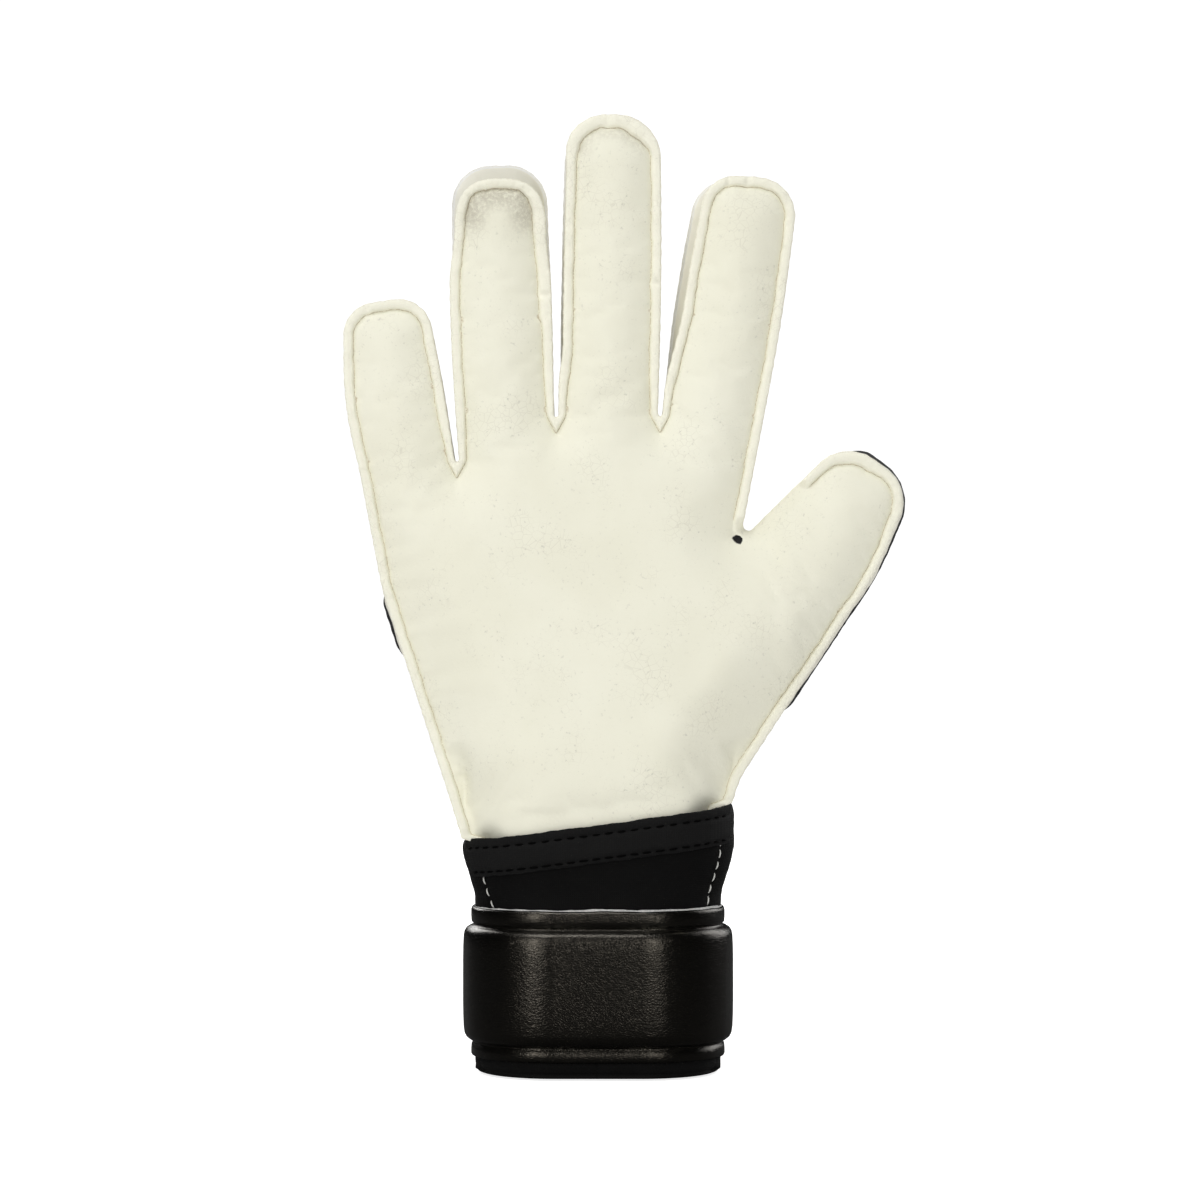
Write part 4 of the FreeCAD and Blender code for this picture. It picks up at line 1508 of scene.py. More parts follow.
    def swell(self, points: Array, faces: Array, held: Array, pull: float) -> Array:
        """Settles a panel as cloth between its seams.

        Args:
            points: its points, (n, 3).
            faces: its triangles.
            held: which points are sewn.
            pull: how hard it is blown out, towards +Y.

        Returns:
            The settled points, each at most the cap from where it was.
        """
        mesh = bpy.data.meshes.new("panel_cloth")
        mesh.from_pydata((points * MM * self.sim_scale).tolist(), [], faces.tolist())
        panel = bpy.data.objects.new("panel_cloth", mesh)
        bpy.context.collection.objects.link(panel)
        panel.vertex_groups.new(name="sewn").add(np.flatnonzero(held).tolist(), 1.0, "REPLACE")
        cloth = panel.modifiers.new("cloth", "CLOTH")
        cloth.settings.quality = 6
        cloth.settings.mass = 0.25
        cloth.settings.tension_stiffness = 18.0
        cloth.settings.compression_stiffness = 18.0
        cloth.settings.shear_stiffness = 8.0
        cloth.settings.bending_stiffness = 1.2
        cloth.settings.vertex_group_mass = "sewn"
        cloth.settings.shrink_min = -0.012
        cloth.point_cache.frame_start = 1
        cloth.point_cache.frame_end = self.sim_frames
        scene = bpy.context.scene
        scene.gravity = (0.0, pull, 0.0)
        for number in range(1, self.sim_frames + 1):
            scene.frame_set(number)
        settled = panel.evaluated_get(bpy.context.evaluated_depsgraph_get()).to_mesh()
        moved = np.empty(len(points) * 3)
        settled.vertices.foreach_get("co", moved)
        bpy.data.objects.remove(panel)
        bpy.data.meshes.remove(mesh)
        scene.gravity = (0.0, 0.0, -9.81)
        scene.frame_set(1)
        shift = moved.reshape(-1, 3) / (MM * self.sim_scale) - points
        far = np.linalg.norm(shift, axis=1)
        log.info("panel cloth moved %.2f mm at most, %.2f mm on average", far.max(), far.mean())
        return points + shift * (self.sim_cap * np.tanh(far / self.sim_cap) / np.maximum(far, 1e-9))[:, None]

    @staticmethod
    def curl(points: Array, regions: Array) -> Array:
        """Leans fingertips towards the palm, as the hand's rest shape does.

        Args:
            points: the points, (n, 3).
            regions: the region of each.

        Returns:
            The points, leaned.
        """
        leaned = points.copy()
        for k, digit in enumerate(DIGITS):
            own = (regions == 1 + 2 * k) | (regions == 2 + 2 * k)
            s = digit.along(points[:, [0, 2]])
            start = 0.62 * digit.length
            rise = np.maximum(s - start + 5.0, 0.0)
            bow = np.where(rise < 10.0, rise**2 / 20.0, rise - 5.0)
            leaned[own, 1] -= (math.tan(math.radians(digit.curl)) * bow)[own]
        return leaned

    def build(self) -> list[bpy.types.Object]:
        """Makes the whole skin and parts it at the joints.

        Returns:
            The pieces.
        """
        section, strips, masks = self.sections()
        count, around = section.shape[:2]
        points = section.reshape(-1, 3)
        point_region = np.repeat(np.append(self.seam.regions, 0), around)
        faces: list[tuple[int, ...]] = []
        keys: list[int] = []
        for i in range(count - 1):
            base = i * around
            for j in range(around - 1):
                faces.append((base + j, base + around + j, base + around + j + 1, base + j + 1))
                keys.append(int(strips[j]) * 100 + int(self.seam.regions[i]))
        values = {key: value.ravel() for key, value in masks.items()}
        values["worn"] = np.zeros(len(points))
        for back in (False, True):
            column = around - 1 if back else 0
            ring = section[:, column, :][:, [0, 2]]
            flat, tris, region = self.panel(ring)
            fresh = flat[count:]
            gap, near = to_line(flat, ring)
            edge = self.edge_depth(self.seam.places[near])
            depth = self.depth(flat, gap, edge, back)
            body = np.stack([flat[:, 0], depth if back else -depth, flat[:, 1]], axis=1)
            body[:count] = section[:, column, :]
            own = np.zeros(len(flat), int)
            own[tris.ravel()] = np.repeat(region, 3)
            body_region = own.copy()
            body_region[:count] = point_region[: count * around].reshape(count, around)[:, column]
            held = (gap < 0.6) | (flat[:, 1] < self.cuff_line(flat[:, 0]) + 6.0)
            settled = self.swell(body, tris, held, 26.0 if back else -26.0)
            settled[:count] = section[:, column, :]
            index = np.concatenate([np.arange(count) * around + column, len(points) + np.arange(len(fresh))])
            points = np.vstack([points, settled[count:]])
            point_region = np.concatenate([point_region, body_region[count:]])
            for tri, number in zip(tris, region):
                a, b, c = index[tri]
                faces.append((a, b, c) if not back else (a, c, b))
                keys.append((2 if back else 0) * 100 + int(number))
            worn = self.crackle_and_tip_shadow(flat, gap) if not back else np.zeros(len(flat))
            values["worn"][index[:count]] = worn[:count]
            values["worn"] = np.concatenate([values["worn"], worn[count:]])
            for key in ("seam", "raw_edge", "stain"):
                values[key] = np.concatenate([values[key], np.zeros(len(fresh))])
        torn = smooth(1.8, 0.9, np.hypot(points[:, 0] - 39.3, points[:, 2] - 150.2)) * (points[:, 1] < 2.0)
        values["stain"] = np.maximum(values["stain"], torn)
        points = self.curl(points, point_region)
        return self._part(points, faces, np.array(keys), values)

    def cuff_line(self, x: Array) -> Array:
        """Height of the line where hand meets cuff.

        Args:
            x: across.

        Returns:
            The height there.
        """
        (x0, z0), (x1, z1) = self.cuff_left, self.cuff_right
        return z0 + (np.asarray(x) - x0) * (z1 - z0) / (x1 - x0)

    @staticmethod
    def crackle_and_tip_shadow(flat: Array, gap: Array) -> Array:
        """Rubbed, crackled places on the palm just below the ring and middle fingertips' lips, which also hold
        painted shadow cast by those lips.

        Args:
            flat: places, (n, 2).
            gap: their distances from the seam.

        Returns:
            How crackled and shaded each is, from 0 to 1.
        """
        # ring tip band just below the lip, and the middle tip: crackle with painted shadow of the lip
        tips = smooth(8.5, 2.5, gap) * smooth(233.0, 242.0, flat[:, 1]) * (np.abs(flat[:, 0] + 27.4) < 15.0)
        middle = Place((-3.0, 262.0), (10.0, 262.0), 6.0, 0.55).weigh(flat) * smooth(5.0, 0.5, gap)
        return np.clip(tips + middle, 0.0, 1.0)

    def _part(
        self, points: Array, faces: list, keys: Array, values: dict[str, Array]
    ) -> list[bpy.types.Object]:
        """Smooths the sewn skin once and parts it into pieces.

        Args:
            points: its points.
            faces: its faces.
            keys: layer and region of each face.
            values: its masks.

        Returns:
            The pieces.
        """
        whole = bpy.data.meshes.new("whole")
        whole.from_pydata(points.tolist(), [], [tuple(map(int, f)) for f in faces])
        whole.attributes.new("key", "INT", "FACE").data.foreach_set("value", keys.astype(np.int32))
        for key, value in values.items():
            whole.attributes.new(key, "FLOAT", "POINT").data.foreach_set("value", value.astype(np.float32))
        holder = bpy.data.objects.new("whole", whole)
        bpy.context.collection.objects.link(holder)
        finer = holder.modifiers.new("finer", "SUBSURF")
        finer.levels = finer.render_levels = 1
        mesh = bpy.data.meshes.new_from_object(holder.evaluated_get(bpy.context.evaluated_depsgraph_get()))
        amount = len(mesh.vertices)
        co = np.empty(amount * 3)
        mesh.vertices.foreach_get("co", co)
        co = co.reshape(-1, 3)
        normals = np.empty(amount * 3)
        mesh.vertices.foreach_get("normal", normals)
        normals = normals.reshape(-1, 3)
        corner = np.empty(len(mesh.loops), np.int32)
        mesh.loops.foreach_get("vertex_index", corner)
        quads = corner.reshape(-1, 4)
        key = np.empty(len(mesh.polygons), np.int32)
        mesh.attributes["key"].data.foreach_get("value", key)
        masks = {}
        for name in values:
            masks[name] = np.empty(amount, np.float32)
            mesh.attributes[name].data.foreach_get("value", masks[name])
        bpy.data.objects.remove(holder)
        bpy.data.meshes.remove(whole)
        bpy.data.meshes.remove(mesh)
        self.surface = (co, quads, key)
        made = []
        for layer in Layer:
            for number in range(11):
                own = quads[key == layer.value * 100 + number]
                if len(own):
                    made.append(self._piece(layer, number, co, own, normals, masks))
        return made

    def _piece(
        self, layer: Layer, number: int, co: Array, quads: Array, normals: Array, masks: dict[str, Array]
    ) -> bpy.types.Object:
        """One piece of the skin.

        Args:
            layer: its layer.
            number: its region.
            co: the whole skin's points.
            quads: the piece's faces.
            normals: the whole skin's normals.
            masks: the whole skin's masks.

        Returns:
            The piece.
        """
        used, faces = np.unique(quads, return_inverse=True)
        faces = faces.reshape(-1, 4)
        side = {Layer.PALM: "palm", Layer.GUSSET: "gusset", Layer.BACK: "back"}[layer]
        digit = DIGITS[(number - 1) // 2] if number else None
        high = bool(number) and number % 2 == 0
        black = layer is Layer.BACK and (digit is None or digit.name == "thumb")
        slot = {
            Layer.PALM: "palm_latex", Layer.GUSSET: "gusset_latex",
            Layer.BACK: "back_black" if black else "back_white"
        }[layer]
        part = "hand" if digit is None else digit.name
        if part not in ("hand", "thumb"):
            part += "_upper" if high else "_lower"
        piece = make_object(
            f"{part}_{side}", co[used], faces, self.wardrobe[slot],
            masks={key: value[used] for key, value in masks.items()}, normals=normals[used], tidy=False,
        )
        if digit is None:
            nodes = {
                Layer.PALM: ["palm_latex"],
                Layer.GUSSET: ["little_side_gusset", "thumb_side_gusset", "finger_crotch_gussets"],
                Layer.BACK: ["back_foam"],
            }[layer]
            return seat(piece, "hand", nodes)
        step = 1 if high else 0
        tip = "tip" if high or digit.name == "thumb" else "base"
        nodes = [f"{digit.name}_{tip}_{side}"]
        if layer is Layer.PALM:
            nodes.append(f"{digit.name}_{tip}_bend")
        first, last = digit.bends[step]
        a, b = digit.at(0.0, first), digit.at(0.0, last)
        digit.bodies()[step]
        digit.bodies()[step + 1]
        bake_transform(piece)
        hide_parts(*nodes)
        return piece


@dataclass
class BackPads:
    """Four slanted raised bars on the back."""

    wardrobe: Wardrobe
    skin: Skin
    first: float = 88.0
    pitch: float = 19.0
    width: float = 11.0
    half_span: float = 30.0
    rise: float = 16.0
    lift: float = 1.5

    def build(self) -> bpy.types.Object:
        """Presses the bars onto the back's finished surface.

        Returns:
            The piece.
        """
        co, quads, key = self.skin.surface
        own = quads[key == Layer.BACK.value * 100]
        tree = BVHTree.FromPolygons(co.tolist(), own.tolist())
        across, cross_height = rounded(15, 0.30)
        points, faces = [], []
        along = np.linspace(-1.0, 1.0, 46)
        for bar in range(4):
            base = len(points)
            for u in along:
                end = math.sqrt(max(0.0, 1.0 - max(0.0, (abs(u) - 0.86) / 0.14) ** 2))
                for share, height in zip(across, cross_height):
                    x = u * self.half_span
                    z = self.first + bar * self.pitch + self.rise * (0.5 + 0.5 * u) - 4.0 * u * u
                    z += (share - 0.5) * self.width * max(end, 0.12)
                    hit = tree.ray_cast(Vector((x, 60.0, z)), Vector((0.0, -1.0, 0.0)))[0]
                    y = hit.y if hit is not None else 14.0
                    ribs = 0.22 * math.cos(u * 40.0) * height
                    points.append((x, y - 0.25 + (self.lift * height + ribs * 0.4) * min(1.0, end * 1.4), z))
            rows = len(across)
            for i in range(len(along) - 1):
                row = base + i * rows
                faces += [(k, k + 1, k + rows + 1, k + rows) for k in range(row, row + rows - 1)]
            points, faces = self._close(points, faces, base, len(along), rows)
        masks = {
            "seam": np.zeros(len(points)), "raw_edge": np.zeros(len(points)), "worn": np.zeros(len(points))
        }
        piece = make_object(
            "back_pads_raised", np.array(points), faces, self.wardrobe["back_white"],
            masks=masks
        )
        return seat(piece, "hand", ["back_pads"])

    @staticmethod
    def _close(points: list, faces: list, base: int, long: int, rows: int) -> tuple[list, list]:
        """Closes a bar underneath.

        Args:
            points: points so far.
            faces: faces so far.
            base: the bar's first point.
            long: its stations.
            rows: points across.

        Returns:
            Points and faces.
        """
        under = len(points)
        for k in range(long * rows):
            x, y, z = points[base + k]
            points.append((x, y - 0.9, z))
        for i in range(long - 1):
            row = under + i * rows
            faces += [(k, k + rows, k + rows + 1, k + 1) for k in range(row, row + rows - 1)]
        rim = grid_rim(long, rows)
        for a, b in zip(rim, rim[1:] + rim[:1]):
            faces.append((base + a, under + a, under + b, base + b))
        return points, faces


@dataclass
class Linings:
    """The knitted linings seen through the wrist opening."""

    wardrobe: Wardrobe
    low: float = 64.0
    high: float = 176.0
    wall: float = 0.7

    def build(self) -> list[bpy.types.Object]:
        """Makes the palm's and the back's lining.

        Returns:
            The pieces.
        """
        made = []
        for name, node, sign in (
            ("palm_lining_knit", "palm_lining", -1.0), ("back_lining_knit", "back_lining", 1.0)
        ):
            share = np.linspace(0.0, 1.0, 40)
            across = np.linspace(-1.0, 1.0, 41)
            points = []
            for skin in (0.0, self.wall):
                for s in share:
                    z = self.low + (self.high - self.low) * s
                    half = np.interp(
                        z, (64.0, 84.0, 110.0, 140.0, 176.0), (33.0, 34.5, 40.0, 40.0, 36.0)
                    ) - skin
                    deep = np.interp(
                        z, (64.0, 84.0, 108.0, 142.0, 170.0, 176.0), (18.6, 18.2, 15.2, 10.8, 6.5, 3.0)
                    ) - skin
                    fold = 0.35 * ripple(31, across * 34.0 + s * 9.0, 16.0)
                    y = sign * (deep * (1.0 - np.abs(across) ** 2.6) + fold * (1.0 - across**2))
                    points += list(zip(across * half, y, np.full(len(across), z) + skin))
            faces = two_sheets(len(share), len(across))
            piece = make_object(name, np.array(points), faces, self.wardrobe["lining"])
            made.append(seat(piece, "hand", [node]))
        return made


# ---------------------------------------------------------------- cuff


@dataclass
class Cuff:
    """Textile cuff: palm and back panels, side bindings, top band, hem and stitching."""

    wardrobe: Wardrobe
    half_width: float = 33.6
    half_depth: float = 21.6
    top_half_width: float = 37.4
    top_half_depth: float = 23.2
    flare_from: float = 47.5
    flare_to: float = 65.0
    wall: float = 2.4
    band_height: float = 10.6
    hem_height: float = 5.6
    side: float = 0.200
    cuff_left: tuple[float, float] = (-38.0, 65.8)
    cuff_right: tuple[float, float] = (37.4, 75.8)
    run_length: float = 183.7

    def line(self, x: Array) -> Array:
        """Height of the cuff's top edge.

        Args:
            x: across.

        Returns:
            The height there.
        """
        (x0, z0), (x1, z1) = self.cuff_left, self.cuff_right
        return z0 + (np.asarray(x) - x0) * (z1 - z0) / (x1 - x0)

    def surface(self, along: Array, height: Array, out: Array) -> Array:
        """A point on the cuff's rounded section.

        Args:
            along: mm round the section from the middle of the palm side, towards the thumb.
            height: above the hem.
            out: outwards from the cuff's face.

        Returns:
            The point, (..., 3).
        """
        share = np.clip((height - self.flare_from) / (self.flare_to - self.flare_from), 0.0, 1.0)
        share = share * share * (3.0 - 2.0 * share)
        deep = self.half_depth + (self.top_half_depth - self.half_depth) * share
        flat = self.half_width + (self.top_half_width - self.half_width) * share - deep
        total = 4.0 * flat + 2.0 * math.pi * deep
        run = np.mod(along / self.run_length, 1.0) * total
        arc = math.pi * deep
        right = (run - flat) / deep
        left = (run - 3.0 * flat - arc) / deep
        zone = [run < flat, run < flat + arc, run < 3.0 * flat + arc, run < 3.0 * flat + 2.0 * arc]
        r = deep + out
        x = np.select(
            zone, [run, flat + r * np.sin(right), 2.0 * flat + arc - run, -flat - r * np.sin(left)],
            run - total
        )
        y = np.select(zone, [-r, -r * np.cos(right), r, r * np.cos(left)], -r)
        return np.stack(np.broadcast_arrays(x, y, height), axis=-1)

    def _x(self, along: Array) -> Array:
        """How far across a place round the cuff's top is."""
        return self.surface(along, np.full(np.shape(along), 70.0), np.zeros(np.shape(along)))[..., 0]

    def panels(self) -> list[bpy.types.Object]:
        """Makes the palm-side and back-side panels.

        Returns:
            The pieces.
        """
        made = []
        for name, node, low, high, over in (
            ("cuff_palm_cloth", "cuff_palm_panel", -self.side, self.side, -2.0),
            ("cuff_back_cloth", "cuff_back_panel", self.side + 0.1, 0.9 - self.side, 0.0),
        ):
            run = np.linspace(low, high, 96) * self.run_length
            share = np.linspace(0.0, 1.0, 64)
            front = over < 0.0
            top = self.line(self._x(run)) + over
            height = 1.0 + (top[:, None] - 1.0) * share[None]
            edge = np.minimum(np.minimum(np.arange(96), np.arange(95, -1, -1)) / 3.0, 1.0)[:, None]
            puff = 0.18 * ripple(21, run, 40.0)[:, None] * np.sin(math.pi * share)[None] + 0.12 * np.sin(height / 3.1)
            out = (
                0.0 if front else 0.5 * smooth(50.0, 64.0, height)
            ) + puff * 0.6 + 0.35 * np.sqrt(edge) - 0.35
            if not front:
                out = out + 0.8 * smooth(0.80, 0.86, share)[None]
                for drop in (2.6, 9.4):
                    out = out - 0.4 * np.exp(-(((top[:, None] - height - drop) / 0.7) ** 2))
            out = np.where(share[None] > 0.995, out - 0.5, out)
            under = np.full_like(out, -self.wall) + 0.0 * height
            points, faces, cloth = sweep(self.surface, run, ribbon(out, height, under))
            piece = make_object(name, points, faces, self.wardrobe["cuff_textile"], cloth)
            made.append(seat(piece, "hand", [node]))
        return made

    def bindings(self) -> list[bpy.types.Object]:
        """Makes the two side bindings, each a folded tape.

        Returns:
            The pieces.
        """
        made = []
        for name, node, low, tall in (
            ("thumb_side_tape", "cuff_thumb_side_binding", self.side, 0.6),
            ("little_side_tape", "cuff_little_side_binding", 0.9 - self.side, 0.2),
        ):
            run = (low + 0.1 * np.linspace(-0.08, 1.08, 30)) * self.run_length
            share = np.linspace(0.0, 1.0, 60)
            _, lift = rounded(30, 0.22)
            top = self.line(self._x(run)) + tall
            height = 1.0 + (top[:, None] - 1.0) * share[None]
            fold = 0.35 * np.exp(-((((np.linspace(0.0, 1.0, 30) - 0.5) / 0.05) ** 2)))[:, None]
            wave = 0.12 * ripple(22 + int(low * 10), height[0], 9.0)[None]
            out = 1.25 * lift[:, None] + wave * lift[:, None] - fold
            out = out * np.sqrt(np.clip((1.0 - share[None]) * 22.0, 0.0, 1.0))
            under = np.full_like(out, -self.wall * 0.9)
            points, faces, cloth = sweep(self.surface, run, ribbon(out, height, under))
            piece = make_object(name, points, faces, self.wardrobe["binding"], cloth)
            made.append(seat(piece, "hand", [node]))
        return made

    def band(self) -> bpy.types.Object:
        """Makes the folded band that covers the palm's lower edge.

        Returns:
            The piece.
        """
        count, rows = 260, 22
        run = np.linspace(-self.side - 0.012, self.side + 0.012, count) * self.run_length
        share = np.linspace(0.0, 1.0, rows)
        top = self.line(self._x(run)) + 0.20 * ripple(23, run, 23.0)
        top = top + 0.07 * ripple(24, run, 6.0) + 0.05 * ripple(25, run, 1.9)
        low = self.line(self._x(run)) - self.band_height + 0.15 * ripple(26, run, 14.0)
        height = low[:, None] + (top - low)[:, None] * share[None]
        rise = np.sqrt(np.clip(1.0 - ((share - 0.55) / 0.56) ** 6, 0.05, 1.0))[None]
        out = 0.75 + 1.0 * rise + 0.10 * ripple(27, run, 9.0)[:, None] * rise
        for drop in (2.6, 9.4):
            out = out - 0.42 * np.exp(-(((top[:, None] - height - drop) / 0.55) ** 2))
        ends = np.minimum(np.minimum(np.arange(count), np.arange(count - 1, -1, -1)) / 3.0, 1.0)[:, None]
        out = 0.4 + (out - 0.4) * np.sqrt(ends)
        under = np.full_like(out, 0.15) + 0.45 * smooth(0.7, 1.0, share)[None]
        points, faces, cloth = sweep(self.surface, run, ribbon(out, height, under))
        piece = make_object(
            "cuff_top_band", points, faces, self.wardrobe["band_textile"], cloth
        )
        return seat(piece, "hand", ["cuff_reinforcement_band"])

    def hem(self) -> bpy.types.Object:
        """Makes the bound lower edge.

        Returns:
            The piece.
        """
        run = np.linspace(0.0, self.run_length, 190, endpoint=False)
        u = np.linspace(0.0, 1.0, 14)
        outer = np.stack(
            [0.25 + 0.65 * np.sin(math.pi * np.clip(u * 1.15, 0, 1)) ** 0.5, self.hem_height * (1.0 - u) + 0.9 * u],
            axis=1
        )
        turn = np.linspace(0.0, math.pi, 9)[1:-1]
        thick = self.wall + 1.2
        bottom = np.stack(
            [-self.wall / 2.0 + 0.15 + 0.5 * thick * np.cos(turn), 0.9 - 0.9 * np.sin(turn)], axis=1
        )
        inner = np.stack([np.full(14, -self.wall - 0.65), 0.9 + (self.hem_height - 0.9) * u], axis=1)
        inner[-1, 0] += 0.4
        profile = np.vstack([outer, bottom, inner])
        wave = 0.10 * ripple(28, run, self.run_length / 9.0)
        profiles = np.repeat(profile[None], len(run), axis=0)
        profiles[:, :14, 0] += wave[:, None]
        points, faces, cloth = sweep(self.surface, run, profiles, loop=True)
        piece = make_object("cuff_hem_tape", points, faces, self.wardrobe["binding"], cloth)
        return seat(piece, "hand", ["cuff_hem_binding"])

    def _rows(self, run: Array, height: Array, out: float) -> tuple[Array, Array, Array]:
        """Places, directions and outward directions on the cuff.

        Args:
            run: places round the cuff.
            height: their heights.
            out: how far out.

        Returns:
            Centres, directions along the line of places, and outward directions.
        """
        centre = self.surface(run, height, np.full(len(run), out))
        outward = self.surface(run, height, np.full(len(run), out + 1.0)) - centre
        return centre, np.gradient(centre, axis=0), outward

    def sewing(self) -> list[bpy.types.Object]:
        """Makes the black rows along the band and the white rows beside the bindings.

        Returns:
            The pieces.
        """
        made = []
        parts = []
        for n, drop in enumerate((2.6, 9.4)):
            for low, high in ((-self.side * 0.97, self.side * 0.97), (self.side + 0.11, 0.89 - self.side)):
                front = low < 0
                run = np.arange(low * self.run_length, high * self.run_length, 3.2)
                height = self.line(self._x(run)) - drop
                parts.append(
                    stitches(*self._rows(run, height, 1.36 if front else 0.9), 2.5, 0.62, 0.30, 40 + n)
                )
        made.append(self._join("cuff_black_stitching", parts, "black_thread", "cuff_row_stitches"))
        parts = []
        for n, (run_at, low, high, bow) in enumerate((
            (self.side - 0.012, 45.6, 69.0, 0.0), (-self.side + 0.014, 48.0, 57.5, 1.8),
            (self.side + 0.112, 45.6, 66.0, 0.0), (0.888 - self.side, 45.6, 60.0, 0.0),
        )):
            height = np.arange(low, high, 3.3)
            share = (height - low) / (high - low)
            run = np.full(len(height), run_at * self.run_length) + bow * (share - 0.5) ** 2 * 4.0
            out = np.where(height > 54.0, 0.35, 0.12)
            centre, along, outward = self._rows(run, height, 0.0)
            parts.append(stitches(centre + outward * out[:, None], along, outward, 2.4, 0.5, 0.3, 50 + n))
        made.append(self._join("cuff_white_stitching", parts, "white_thread", "cuff_side_stitches"))
        return made

    def _join(self, name: str, parts: list, slot: str, node: str) -> bpy.types.Object:
        """Joins runs of stitches into one piece.

        Args:
            name: its name.
            parts: points, faces and fabric coordinates of each run.
            slot: its finish.
            node: the CAD node that it stands for.

        Returns:
            The piece.
        """
        faces, start = [], 0
        for points, own, _ in parts:
            faces += [tuple(start + i for i in face) for face in own]
            start += len(points)
        piece = make_object(
            name, np.concatenate([p[0] for p in parts]), faces, self.wardrobe[slot], np.concatenate(
                [p[2] for p in parts]
            )
        )
        return seat(piece, "hand", [node])

    def build(self) -> list[bpy.types.Object]:
        """Makes every piece of the cuff.

        Returns:
            The pieces.
        """
        return [*self.panels(), *self.bindings(), self.band(), self.hem(), *self.sewing()]


# ---------------------------------------------------------------- strap


@dataclass
class Strap:
    """The wrist strap and its hinged tongue."""

    wardrobe: Wardrobe
    bottom: float = 4.6
    top: float = 46.8
    inner_depth: float = 22.3
    straight: float = 12.0
    wide_turn: float = 5.8
    tongue_radius: float = 28.5
    hinge: float = 30.0
    end_x: float = -22.0

    def path(self, along: Array, height: Array, out: Array) -> Array:
        """A point on the strap's course.

        Args:
            along: mm from the strap's hidden end on the back.
            height: above the hem.
            out: outwards from the strap's inner face.

        Returns:
            The point, (..., 3).
        """
        r, w, big = self.inner_depth, self.straight, self.tongue_radius
        half = math.pi * r
        ends = np.cumsum([2 * w, half, 2 * w, half / 2.0, big * math.pi / 2.0])
        a = np.asarray(along, float)
        left = math.pi / 2.0 + (a - ends[0]) / r
        right = -math.pi / 2.0 + (a - ends[2]) / r
        wide = (a - ends[3]) / big
        zone = [a < ends[0], a < ends[1], a < ends[2], a < ends[3], a < ends[4]]
        x = np.select(
            zone,
            [
                w - a, -w + (r + out) * np.cos(left), -w + a - ends[1], w + (r + out) * np.cos(right),
                self.wide_turn + (big + out) * np.cos(wide),
            ],
            self.wide_turn - (a - ends[4]),
        )
        y = np.select(
            zone,
            [r + out, (r + out) * np.sin(left), -r - out, (r + out) * np.sin(right), (big + out) * np.sin(wide)],
            big + out,
        )
        return np.stack(np.broadcast_arrays(x, y, height), axis=-1)

    @property
    def strap_end(self) -> float:
        """Where the strap ends along its course."""
        return 4 * self.straight + 1.5 * math.pi * self.inner_depth + math.radians(self.hinge) * self.tongue_radius

    @property
    def tongue_end(self) -> float:
        """Where the tongue ends along its course."""
        turn = 4 * self.straight + 1.5 * math.pi * self.inner_depth + math.pi / 2.0 * self.tongue_radius
        return turn + self.wide_turn - self.end_x

    def profile(self, run: Array, crown: Array, lift: Array) -> Array:
        """Closed profiles with flat flanges, sewn channels and a puffed middle.

        Args:
            run: places along the course.
            crown: height of the puffed middle at each place.
            lift: height of the flanges at each place.

        Returns:
            The profiles, (n, m, 2).
        """
        shares = (
            (0.0, 0.35, 0.0), (0.004, 0.8, 0.0), (0.014, 1.0, 0.0), (0.045, 1.0, 0.0), (0.078, 0.9, 0.0),
            (0.090, 0.45, 0.0), (0.098, 0.45, 0.0), (0.108, 0.8, 0.25), (0.125, 0.8, 0.62),
            (0.15, 0.8, 0.83), (0.19, 0.8, 0.93), (0.27, 0.8, 0.98), (0.36, 0.8, 1.0), (0.5, 0.8, 1.0),
            (0.64, 0.8, 1.0), (0.73, 0.8, 0.98), (0.80, 0.8, 0.93), (0.832, 0.8, 0.83), (0.853, 0.8, 0.62),
            (0.868, 0.8, 0.25), (0.877, 0.45, 0.0), (0.886, 0.45, 0.0), (0.897, 0.9, 0.0), (0.93, 1.0, 0.0),
            (0.975, 1.0, 0.0), (0.992, 0.8, 0.0), (1.0, 0.35, 0.0),
        )
        table = np.array(shares)
        out = lift[:, None] * table[None, :, 1] + np.maximum(crown - lift, 0.1)[:, None] * table[None, :, 2]
        sway = 0.16 * ripple(61, run, 26.0)[:, None] * (table[None, :, 0] > 0.9)
        sway = sway + 0.12 * ripple(62, run, 33.0)[:, None] * (table[None, :, 0] < 0.1)
        height = self.bottom + (self.top - self.bottom) * table[None, :, 0] + sway
        soft = 0.10 * ripple(63, run, 21.0)[:, None] * table[None, :, 2]
        under = np.stack([np.full(len(run), 0.75), np.full(len(run), self.top - 0.3)], axis=-1)[:, None]
        under2 = np.stack([np.full(len(run), 0.75), np.full(len(run), self.bottom + 0.3)], axis=-1)[:, None]
        return np.concatenate([np.stack([out + soft + 0.5, height], axis=-1), under, under2], axis=1)

    def _worn(self, cloth: Array) -> Array:
        """Where the hide is glossier and takes a lighter warm colour: along the sewn channels, partly scuffing and
        partly painted highlight.

        Args:
            cloth: fabric coordinates, (n, 3).

        Returns:
            How scuffed and highlighted each point is.
        """
        share = (cloth[:, 1] - self.bottom) / (self.top - self.bottom)
        line = np.exp(-(((share - 0.885) / 0.018) ** 2)) + np.exp(-(((share - 0.088) / 0.018) ** 2))
        spots = np.exp(-(((cloth[:, 0] - 96.0) / 5.5) ** 2)) + np.exp(-(((cloth[:, 0] - 120.0) / 4.5) ** 2))
        return np.clip(line * (0.08 + spots), 0.0, 1.0)

    def _band(self, name: str, run: Array, slot: str, profiles: Array) -> bpy.types.Object:
        """One swept piece of the strap.

        Args:
            name: its name.
            run: places along the course.
            slot: its finish.
            profiles: its closed profiles.

        Returns:
            The piece.
        """
        points, faces, cloth = sweep(self.path, run, profiles)
        masks = {"worn": self._worn(cloth), "seam": np.zeros(len(points)), "raw_edge": np.ones(len(points))}
        return make_object(name, points, faces, self.wardrobe[slot], cloth, masks)

